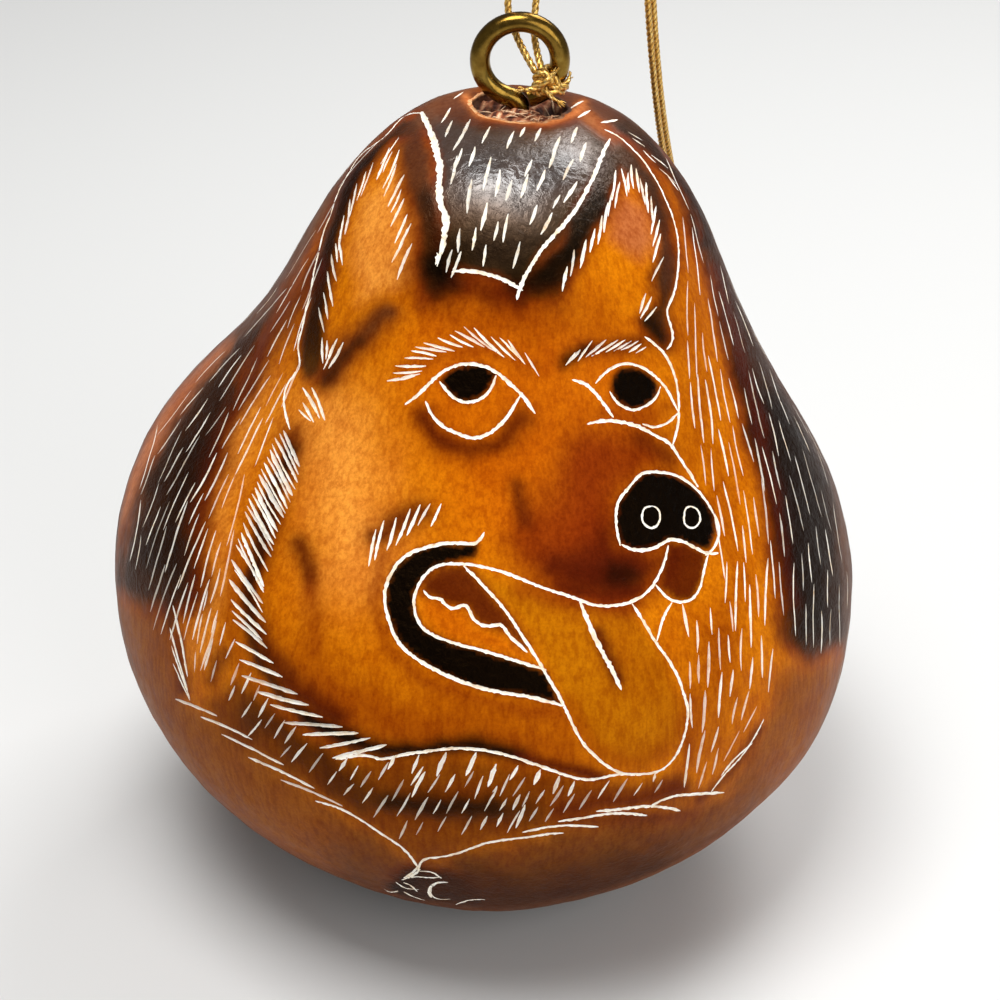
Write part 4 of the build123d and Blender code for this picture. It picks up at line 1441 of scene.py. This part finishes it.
def flat_skin(ribbons):
    """Map places and faces of the skin, the stem hole's two edges, and its and the foot's points."""
    places = list(ribbons.places)
    edges = list(ribbons.edges)
    rim = ring_of(len(places), RIM_COUNT)
    rims = []
    for extra in (0.0, RIM_TORN):
        edges += pairs_round(ring_of(len(places), RIM_COUNT))
        rims.append([tuple(place) for place in to_map(*rim_angles(full_turn(RIM_COUNT), extra))])
        places += rims[-1]
    places += background(places)
    foot = ring_of(len(places), FOOT_SIDES)
    places += list(to_map(np.full(FOOT_SIDES, math.radians(FOOT_EDGE_DEG)), full_turn(FOOT_SIDES)))
    flat = [Vector((float(x), float(y))) for x, y in places]
    found, _, faces, origins, _, _ = delaunay_2d_cdt(flat, edges, [], 0, SAME_PLACE)
    at = {source: k for k, sources in enumerate(origins) for source in sources}
    found = np.array([(v.x, v.y) for v in found])
    faces = np.array([f for f in faces if len(f) == 3])
    return found, faces, rims, [at[k] for k in rim], [at[k] for k in foot]


def carve(found, centres, faces, middles):
    """Which faces lie in a cut, and how deep and how worn each point is."""
    tree = tree_of(middles[:, :2])
    cut = np.zeros(len(faces), bool)
    for k, (x, y) in enumerate(centres):
        _, index, gap = tree.find((x, y, 0.0))
        cut[k] = gap < middles[index, 2] * middles[index, 3] * CUT_EDGE_SHARE
    depth = np.zeros(len(found))
    worn = np.zeros(len(found))
    for k in np.unique(faces[cut]):
        _, index, gap = tree.find((*found[k], 0.0))
        half = middles[index, 2]
        worn[k] = middles[index, 4]
        depth[k] = DEPTH_SHARE * 2 * half * max(0.0, 1 - gap / (half * middles[index, 3]))
    return cut, depth, worn


def wall_rings(top, turn):
    """Rings of the stem hole's wall, below its edge."""
    for drop, inset in WALL_DROPS:
        ripple = WALL_RIPPLE * np.sin(turn * RIPPLE_COUNT + drop * RIPPLE_TWIST) * math.exp(-drop)
        reach = stem_distance(top) - inset + ripple
        if drop > THROAT_DROP:
            reach = np.maximum(reach, STEM_RADIUS)
        yield round_stem(turn, reach, top[:, 2] - drop)


def hollow_rings(turn):
    """Rings of the hollow, from under the stem hole down to the floor."""
    height = CROWN[2] - CROWN_THICKNESS
    for _ in range(HOLLOW_SETTLING):
        rise, about, _ = to_gourd(round_stem(turn, STEM_RADIUS, height))
        height = from_gourd(rise, about, cavity_reach(rise))[:, 2]
    about = np.unwrap(about)
    for share in np.linspace(0, 1, HOLLOW_RINGS):
        level = rise * (1 - share) + math.radians(HOLLOW_FLOOR_DEG) * share
        yield from_gourd(level, about, cavity_reach(level))


class Shell:
    """Points, faces and materials of the shell, and the open loop where it goes on."""

    def __init__(self, points, faces, slots, loop):
        self.points = points
        self.faces = faces
        self.slots = slots
        self.loop = loop

    def add_ring(self, places, slot):
        """Joins a ring of places to the open loop."""
        ring = ring_of(len(self.points), len(places))
        self.points += list(places)
        self.faces += tube([self.loop, ring])
        self.slots += [slot] * len(ring)
        self.loop = ring

    def close(self, loop, slot):
        """Closes a loop with one face."""
        self.faces.append(tuple(loop))
        self.slots.append(slot)


def layer_skin(mesh, smooth, rise, normal, worn):
    """The skin's layers: burnt colours, cracked char, gloss and worn cuts."""
    count = len(mesh.vertices)
    facing = facing_camera(smooth, normal)
    colours = np.ones((count, 3)) * linear(COLOURS["tan"])
    colours[:len(smooth)] = paint(smooth, rise, facing)
    far = distance_to_line(pixels_of(smooth), SHEEN_LINE) / SHEEN_RADIUS
    shiny = np.zeros(count)
    shiny[:len(smooth)] = np.exp(-far ** 2) * (facing > 0)
    faded = np.zeros(count)
    faded[:len(smooth)] = worn
    light = colours.mean(1)
    char, gloss = (np.clip((start - light) / fade, 0, 1) for start, fade in (CHAR_LIGHT, GLOSS_LIGHT))
    add_layer(mesh, "burn", colours)
    add_layer(mesh, "char", char)
    add_layer(mesh, "gloss", shiny * gloss)
    add_layer(mesh, "worn", faded)


def build_skin():
    """The whole shell: carved skin, torn stem hole and the hollow inside."""
    ribbons = engrave()
    found, faces, rims, rim, foot = flat_skin(ribbons)
    centres = found[faces].mean(1)
    cut, depth, worn = carve(found, centres, faces, np.array(ribbons.middles))

    # Out of the flat map onto the gourd
    rise, about = from_map(found)
    smooth = skin_points(rise, about)
    normal = skin_normals(rise, about)
    dip = RIM_DIP * np.exp(-((stem_distance(smooth) - STEM_RADIUS) / RIM_DIP_SPREAD) ** 2)
    points = smooth + normal * (rough(smooth, SKIN_LUMPS) - depth - dip)[:, None]
    points[:, 2] = np.maximum(points[:, 2], 0.0)

    # The hole is left open, with its torn edge told apart
    in_hole, in_torn = (inside_outline(centres, edge) for edge in rims)
    slots = np.where(in_torn, TORN, np.where(cut, CUT, SKIN))[~in_hole]
    faces = [tuple(face) for face in faces[~in_hole].tolist()]
    shell = Shell(list(points), faces, slots.tolist(), rim)
    top = points[rim]
    turn = np.arctan2(top[:, 1] - STEM_Y, top[:, 0] - STEM_X)
    for ring in wall_rings(top, turn):
        shell.add_ring(ring, TORN)
    for k, ring in enumerate(hollow_rings(turn)):
        shell.add_ring(ring, INSIDE if k else TORN)
    shell.close(shell.loop, INSIDE)
    shell.close(reversed(foot), SKIN)

    piece = make_piece("carved_gourd", shell.points, shell.faces, "gourd", ["gourd_shell"])
    raw = [(0.3, (150, 112, 66)), (0.6, (204, 172, 118))]
    inside = fibre_material("raw inside", 500, 5.0, raw, 0.9, 0.0003)
    for material in (skin_material(), cut_material(), torn_material(), inside):
        piece.data.materials.append(material)
    piece.data.polygons.foreach_set("material_index", shell.slots)
    layer_skin(piece.data, smooth, rise, normal, worn)
    sharpen(piece.data)


def sharpen(mesh):
    """Keeps the light crisp where two materials meet."""
    seen = {}
    for polygon in mesh.polygons:
        for key in polygon.edge_keys:
            seen.setdefault(key, set()).add(polygon.material_index)
    marks = [len(seen.get(tuple(sorted(edge.vertices)), ())) > 1 for edge in mesh.edges]
    layer = mesh.attributes.new("sharp_edge", "BOOLEAN", "EDGE")
    layer.data.foreach_set("value", marks)


# Stub of the stem in the hole, rough and pitted, with torn fibres

PITH_RINGS = 46
PITH_SIDES = 120
PITH_OVERLAP = 0.05
PITH_EDGE_DROP = 0.25
PITH_EDGE_SHARE = 0.8
PITH_STEPS = (1.2, PLUG_LENGTH)
PITH_LUMPS = [(0.15, 0.9, 41)]
PITH_GRAIN = (0.45, 1.0)
PITH_GRAIN_LUMPS = [(0.09, 0.3, 42), (0.05, 0.12, 43)]
PITH_TINT_LUMPS = [(0.5, 0.5, 44)]
PITH_MIDDLE_TINT = 0.5
PITH_SIDE_TINT = 0.2

# Pits and ridges of the stub's top: place from its middle, spread and height
PITH_HILLS = [
    (2.5, 0.4, 0.95, -1.7),
    (-2.7, 0.3, 0.8, -1.1),
    (1.4, -2.0, 0.45, -0.6),
    (0.3, 2.8, 1.2, -1.2),
    (-0.4, -1.7, 1.5, 0.45),
    (-1.9, -1.6, 0.6, 0.4),
    (0.0, 0.0, 1.0, 0.25),
]

# Torn fibres, most of them in front, and where a fibre's width is measured along it
FIBRE_COUNT = 46
FIBRE_FRONT_SHARE = 0.75
FIBRE_FRONT_DEG = (190, 350)
FIBRE_REACH = (1.1, 3.5)
FIBRE_LIMIT = 3.55
FIBRE_SWAY = 0.5
FIBRE_LENGTH = (0.5, 1.7)
FIBRE_LIFT = (-0.05, 0.22)
FIBRE_RADIUS = (0.04, 0.11)
FIBRE_BOW = (0, 0.2)
FIBRE_TINTS = (0.75, 1.5)
FIBRE_STATIONS = [(0.12, 0.7), (0.4, 1.0), (0.72, 0.8), (0.9, 0.45)]
FIBRE_SIDES = 4
FIBRE_FLATNESS = 0.5


def pith_height(spot):
    """Height of the stub's rough top at these places from its middle."""
    height = PLUG_TOP + rough(spot, PITH_LUMPS) + rough(spot * PITH_GRAIN, PITH_GRAIN_LUMPS)
    for x, y, spread, rise in PITH_HILLS:
        height = height + rise * np.exp(-((spot - (x, y)) ** 2).sum(1) / spread ** 2)
    return height


def spindle(start, end, radius, bow):
    """Points and faces of one thin closed fibre that bows upwards between two places."""
    along = end - start
    side = np.cross(along, [0.0, 0.0, 1.0])
    side /= max(np.linalg.norm(side), 1e-9)
    over = np.cross(side, along / np.linalg.norm(along)) * FIBRE_FLATNESS
    points = [start]
    for share, thick in FIBRE_STATIONS:
        middle = start + along * share + np.array([0.0, 0.0, bow * math.sin(share * math.pi)])
        for angle in full_turn(FIBRE_SIDES):
            points.append(middle + radius * thick * (side * math.cos(angle) + over * math.sin(angle)))
    points.append(end)
    last = len(points) - 1
    rings = [ring_of(low, FIBRE_SIDES) for low in range(1, last, FIBRE_SIDES)]
    faces = [(0, b, a) for a, b in pairs_round(rings[0])]
    faces += tube(rings)
    faces += [(last, a, b) for a, b in pairs_round(rings[-1])]
    return points, faces


def build_pith():
    """The stub, its pits and the fibres torn off with the stem."""
    turn = full_turn(PITH_SIDES)
    edge = rim_reach(turn) + PITH_OVERLAP
    points = [np.array([STEM_X, STEM_Y, pith_height(np.zeros((1, 2)))[0]])]
    tints = [PITH_MIDDLE_TINT]
    for row in range(1, PITH_RINGS + 1):
        share = row / PITH_RINGS
        spot = np.stack([edge * share * np.cos(turn), edge * share * np.sin(turn)], 1)
        drop = PITH_EDGE_DROP * max(0.0, share - PITH_EDGE_SHARE) / (1 - PITH_EDGE_SHARE)
        points += list(round_stem(turn, edge * share, pith_height(spot) - drop))
        tints += list(PITH_MIDDLE_TINT + rough(spot, PITH_TINT_LUMPS))
    for drop in PITH_STEPS:
        points += list(round_stem(turn, STEM_RADIUS - PITH_OVERLAP, PLUG_TOP - drop))
        tints += [PITH_SIDE_TINT] * PITH_SIDES
    rings = [ring_of(low, PITH_SIDES) for low in range(1, len(points), PITH_SIDES)]
    faces = [(0, a, b) for a, b in pairs_round(rings[0])]
    faces += [(a, d, c, b) for a, b, c, d in tube(rings)]
    faces.append(tuple(rings[-1][::-1]))
    for _ in range(FIBRE_COUNT):
        in_front = chance.random() < FIBRE_FRONT_SHARE
        angle = math.radians(chance.uniform(*FIBRE_FRONT_DEG) if in_front else chance.uniform(0, 360))
        spot = np.array([math.cos(angle), math.sin(angle)]) * chance.uniform(*FIBRE_REACH)
        way = angle + math.pi / 2 + chance.gauss(0, FIBRE_SWAY)
        half = np.array([math.cos(way), math.sin(way)]) * chance.uniform(*FIBRE_LENGTH) / 2
        ends = np.array([spot - half, spot + half])
        if np.hypot(ends[:, 0], ends[:, 1]).max() > FIBRE_LIMIT:
            continue
        lift = np.array([chance.uniform(*FIBRE_LIFT) for _ in ends])
        start, end = np.column_stack([ends + (STEM_X, STEM_Y), pith_height(ends) + lift])
        more, sides = spindle(start, end, chance.uniform(*FIBRE_RADIUS), chance.uniform(*FIBRE_BOW))
        add_part(points, faces, more, sides)
        tints += [chance.uniform(*FIBRE_TINTS)] * len(more)
    piece = make_piece("stem_stub", points, faces, "gourd", ["stem_plug"])
    piece.data.materials.append(pith_material())
    add_layer(piece.data, "tint", np.clip(tints, 0, FIBRE_TINTS[1]))


def pith_material():
    """Corky stub with paler torn fibres; its darkness in the pits and below its top is painted shade."""
    n = Nodes("stem pith")
    grain = n.noise(2600, 5.0, 0.7)
    lit = n.scaled(n.height(), (PLUG_TOP - 1.1) * MM, (PLUG_TOP + 0.05) * MM, 0.0, 1.0)
    woods = [(0.2, (96, 44, 22)), (0.5, (168, 92, 54)), (0.8, (232, 168, 122)), (1.0, (252, 212, 170))]
    # Painted shade: below its top and in its pits the stub goes dark
    colour = n.mix(lit, (26, 12, 6), n.ramp(n.layer("tint"), woods))
    colour = n.tinted(colour, 0.75, grain, [(0.32, (110, 84, 66)), (0.6, WHITE)])
    n.surface(Base_Color=colour, Roughness=0.85, Normal=n.bump(grain, 0.0001, 0.9))
    return n.material


# Brass, cord and seeds


def brass_material():
    """Bright drawn brass, a little dulled."""
    n = Nodes("brass")
    dull = n.noise(700, 4.0, 0.6)
    lines = n.noise(2400, 3.0, 0.6)
    colour = n.ramp(dull, [(0.3, (98, 72, 26)), (0.5, (124, 95, 38)), (0.7, (150, 122, 56))])
    n.surface(Base_Color=colour, Metallic=1.0, Roughness=n.scaled(lines, 0.3, 0.7, 0.16, 0.28))
    n.surface(Normal=n.bump(lines, 0.00001, 0.5))
    return n.material


def gold_material():
    """Metallic thread, glossy on its turns, with painted shade in dark brown between them."""
    n = Nodes("gold thread")
    fine = n.noise(5200, 3.0, 0.65)
    thread = n.ramp(fine, [(0.3, (186, 126, 40)), (0.5, (232, 182, 84)), (0.7, (255, 232, 160))])
    # Painted shade: the groove layer darkens the thread between its lobes
    colour = n.mix(n.layer("groove"), (96, 50, 12), thread)
    n.surface(Base_Color=colour, Metallic=0.7, Roughness=0.28, Normal=n.bump(fine, 0.00004, 0.8))
    return n.material


def dress_nodes():
    """Materials of the pieces that keep their solid's shape."""
    dry = [(0.3, (132, 108, 70)), (0.6, (186, 162, 118))]
    seed = fibre_material("dry seed", 900, 4.0, dry, 0.7, 0.00004)
    for start, material in (("screw_eye", brass_material()), ("seed_", seed)):
        for name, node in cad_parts.items():
            if name.startswith(start):
                node.data.materials.clear()
                node.data.materials.append(material)


# Strands: a section of three lobes that turns along its line

STRAND_SIDES = 15
STRAND_LOBES = 3
STRAND_PITCH = 1.7
STRAND_SIDE = (0.31, 0.9, 0.3)
STRAND_TAPER_SHARE = 0.7
STRAND_STEP = 0.12
LOBE_DEPTH = 0.26
LOBE_LIGHT = 1.5


def strand(line, radius, taper=0.0):
    """Points, faces and painted groove shade of a twisted strand along a line."""
    line = np.asarray(line, float)
    along = np.gradient(line, axis=0)
    along /= np.linalg.norm(along, axis=1)[:, None]
    twists = 2 * math.pi * walked(line) / STRAND_PITCH
    thinned = np.maximum(0.0, np.linspace(0, 1, len(line)) - STRAND_TAPER_SHARE)
    radii = radius * (1 - taper * thinned / (1 - STRAND_TAPER_SHARE))
    side = np.cross(along[0], STRAND_SIDE)
    angle = full_turn(STRAND_SIDES)
    points = []
    shades = []
    for place, ahead, twist, wide in zip(line, along, twists, radii):
        side = side - ahead * (side @ ahead)
        side /= np.linalg.norm(side)
        over = np.cross(ahead, side)
        lobe = np.abs(np.cos((angle - twist) * STRAND_LOBES / 2))
        reach = wide * (1 - LOBE_DEPTH * (1 - lobe))
        ring = np.outer(np.cos(angle) * reach, side) + np.outer(np.sin(angle) * reach, over)
        points += list(place + ring)
        # Painted shade: points between the lobes get a darker groove shade
        shades += list(np.clip(lobe * LOBE_LIGHT, 0, 1))
    rings = [ring_of(low, STRAND_SIDES) for low in range(0, len(points), STRAND_SIDES)]
    faces = tube(rings) + [tuple(rings[0][::-1]), tuple(rings[-1])]
    return points, faces, shades


def join_strands(name, strands, replaced):
    """One piece of the cord out of several strands, in gold thread."""
    points = []
    faces = []
    shades = []
    for more, sides, groove_shades in strands:
        add_part(points, faces, more, sides)
        shades += groove_shades
    piece = make_piece(name, points, faces, "cord", replaced)
    piece.data.materials.append(gold_thread)
    add_layer(piece.data, "groove", shades)
    return piece


def route_line():
    """Points of the smooth line along the cord's route, in millimetres."""
    curve = bpy.data.curves.new("route", "CURVE")
    curve.dimensions = "3D"
    curve.resolution_u = 24
    spline = curve.splines.new("NURBS")
    spline.points.add(len(CORD_ROUTE) - 1)
    for point, place in zip(spline.points, CORD_ROUTE):
        point.co = (place[0] * MM, place[1] * MM, place[2] * MM, 1.0)
    spline.order_u = 3
    spline.use_endpoint_u = True
    holder = bpy.data.objects.new("route", curve)
    mesh = bpy.data.meshes.new_from_object(holder)
    line = np.array([vertex.co for vertex in mesh.vertices], float) / MM
    bpy.data.objects.remove(holder)
    bpy.data.curves.remove(curve)
    bpy.data.meshes.remove(mesh)
    return line


def around_wire(along, turn_deg, reach):
    """A place beside the ring's wire at the knot: along it, round it, and out from its middle."""
    angle = math.radians(KNOT_DEG)
    out = np.array([math.cos(angle), 0.0, math.sin(angle)])
    ahead = np.array([-math.sin(angle), 0.0, math.cos(angle)])
    front = np.array([0.0, -1.0, 0.0])
    turn = math.radians(turn_deg)
    middle = RING_MIDDLE + out * RING_RADIUS
    return middle + ahead * along + reach * (math.cos(turn) * out + math.sin(turn) * front)


# Knot: its cord is drawn a little tighter. Two wraps round the wire, then a lump and tails whose
# places are from the ring's middle, each tail with its thickness, and frayed threads at its end

KNOT_TIGHTNESS = 0.9
WRAP_CLEARANCE = 0.03
WRAP_POINTS = 90
WRAP_START_DEG = 150
WRAP_STEP_DEG = 9.4
WRAP_ALONG = (-0.55, 0.6)
LUMP_POINTS = 130
LUMP_PLACE = (1.95, -1.4, -1.45)
LUMP_SIZE = 0.31
LUMP_STRETCH = 1.1
LUMP_SLANT = 0.25
LUMP_THICKNESS = 0.3
TAILS = {
    "left": (0.95, [(1.55, -1.5, -1.55), (1.0, -1.75, -1.75), (0.35, -1.7, -1.8)]),
    "right": (0.95, [(2.3, -1.5, -1.5), (3.0, -1.35, -1.75), (3.65, -0.8, -1.65), (3.9, -0.2, -1.35)]),
    "low": (0.6, [(2.0, -1.6, -1.6), (2.35, -1.9, -2.25), (3.0, -1.95, -2.65)]),
    "strap": (0.95, [(0.9, -1.1, -2.05), (1.5, -1.75, -1.6), (2.1, -1.9, -0.95), (2.7, -1.2, -0.55)]),
}
TAIL_TAPER = 0.35
FRAY_COUNT = 7
FRAY_SPREAD = 0.35
FRAY_LENGTH = (0.35, 0.7)
FRAY_BOW = 0.04
FRAY_STEP = 0.1
FRAY_RADIUS = 0.055
FRAY_TAPER = 0.5


def frayed_end(line):
    """Strands of the thin threads that come loose at the end of a tail."""
    way = line[-1] - line[-3]
    way /= np.linalg.norm(way)
    threads = []
    for _ in range(FRAY_COUNT):
        spread = np.array([chance.gauss(0, FRAY_SPREAD) for _ in range(3)])
        tip = line[-1] + (way + spread) * chance.uniform(*FRAY_LENGTH)
        middle = (line[-2] + tip) / 2 + spread * FRAY_BOW
        thread = evenly(curve_through([line[-2], middle, tip]), FRAY_STEP)
        threads.append(strand(thread, FRAY_RADIUS, FRAY_TAPER))
    return threads


def build_knot():
    """The knot: two wraps round the ring, a crossed lump before it and short frayed ends."""
    radius = CORD_DIAMETER / 2 * KNOT_TIGHTNESS
    near = WIRE_RADIUS + radius + WRAP_CLEARANCE
    alongs = np.linspace(*WRAP_ALONG, WRAP_POINTS)
    wraps = [around_wire(far, WRAP_START_DEG + k * WRAP_STEP_DEG, near) for k, far in enumerate(alongs)]
    s = full_turn(LUMP_POINTS)
    reach = (2 + np.cos(3 * s)) * LUMP_SIZE
    across = reach * np.cos(2 * s)
    up = reach * np.sin(2 * s)
    x = across * LUMP_STRETCH + up * LUMP_SLANT
    y = np.sin(3 * s) * LUMP_THICKNESS
    z = up - across * LUMP_SLANT
    loop = RING_MIDDLE + LUMP_PLACE + np.stack([x, y, z], 1)
    strands = [strand(wraps, radius), strand(np.vstack([loop, loop[:1]]), radius)]
    for thickness, places in TAILS.values():
        line = evenly(curve_through(RING_MIDDLE + np.array(places)), STRAND_STEP)
        strands.append(strand(line, radius * thickness, TAIL_TAPER))
        strands += frayed_end(line)
    return join_strands("knot", strands, ["cord_knot"])


def build_cord():
    """The hanging loop, one twisted gold cord along its route."""
    line = route_line()
    knot = build_knot()
    rope = strand(evenly(line, STRAND_STEP), CORD_DIAMETER / 2)
    piece = join_strands("hanging_cord", [rope], ["hanging_loop"])


gold_thread = gold_material()
build_skin()
build_pith()
dress_nodes()
build_cord()

# Stage, light and camera: each lamp's place, size and power, in millimetres and watts

FLOOR_HALF = 5.0
FLOOR_COLOUR = (0.72, 0.72, 0.71, 1.0)
LAMPS = {
    "key": ((-60, -110, 430), 200, 1.5),
    "back": ((160, 200, 340), 200, 0.9),
    "fill": ((200, -300, 200), 260, 0.6),
}
LAMP_AIM = (0.0, 0.0, 38.0)
SKY_STRENGTH = 0.22
CLIP_METRES = (0.01, 10.0)


def point_at(thing, place, way):
    """Puts a lamp or camera at a place in millimetres, looking this way."""
    thing.location = Vector(place) * MM
    thing.rotation_euler = Vector(way).to_track_quat("-Z", "Y").to_euler()


def make_stage():
    """A wide, plain pale floor."""
    half = FLOOR_HALF
    mesh = bpy.data.meshes.new("floor")
    corners = [(-half, -half, 0), (half, -half, 0), (half, half, 0), (-half, half, 0)]
    mesh.from_pydata(corners, [], [(0, 1, 2, 3)])
    floor = add_object("floor", mesh)
    n = Nodes("pale floor")
    n.surface(Base_Color=FLOOR_COLOUR, Roughness=0.9)
    mesh.materials.append(n.material)


def make_light():
    """Soft square lamps from above, a gentle fill and a faint sky."""
    for name, (place, size, power) in LAMPS.items():
        lamp = bpy.data.lights.new(name, "AREA")
        lamp.size = size * MM
        lamp.energy = power
        point_at(add_object(name, lamp), place, np.subtract(LAMP_AIM, place))
    world = bpy.data.worlds.new("studio")
    world.use_nodes = True
    sky = world.node_tree.nodes["Background"].inputs
    sky["Color"].default_value = (1.0, 1.0, 1.0, 1.0)
    sky["Strength"].default_value = SKY_STRENGTH
    bpy.context.scene.world = world


def make_camera():
    """The camera of the photograph."""
    camera = bpy.data.cameras.new("camera")
    camera.sensor_fit = "HORIZONTAL"
    camera.sensor_width = SENSOR_WIDTH
    camera.lens = FOCAL_PIXELS / PICTURE_SIZE * SENSOR_WIDTH
    camera.clip_start, camera.clip_end = CLIP_METRES
    holder = add_object("camera", camera)
    point_at(holder, VIEW_PLACE, VIEW_AHEAD)
    bpy.context.scene.camera = holder


make_stage()
make_light()
make_camera()
bpy.context.scene.view_settings.view_transform = "Standard"
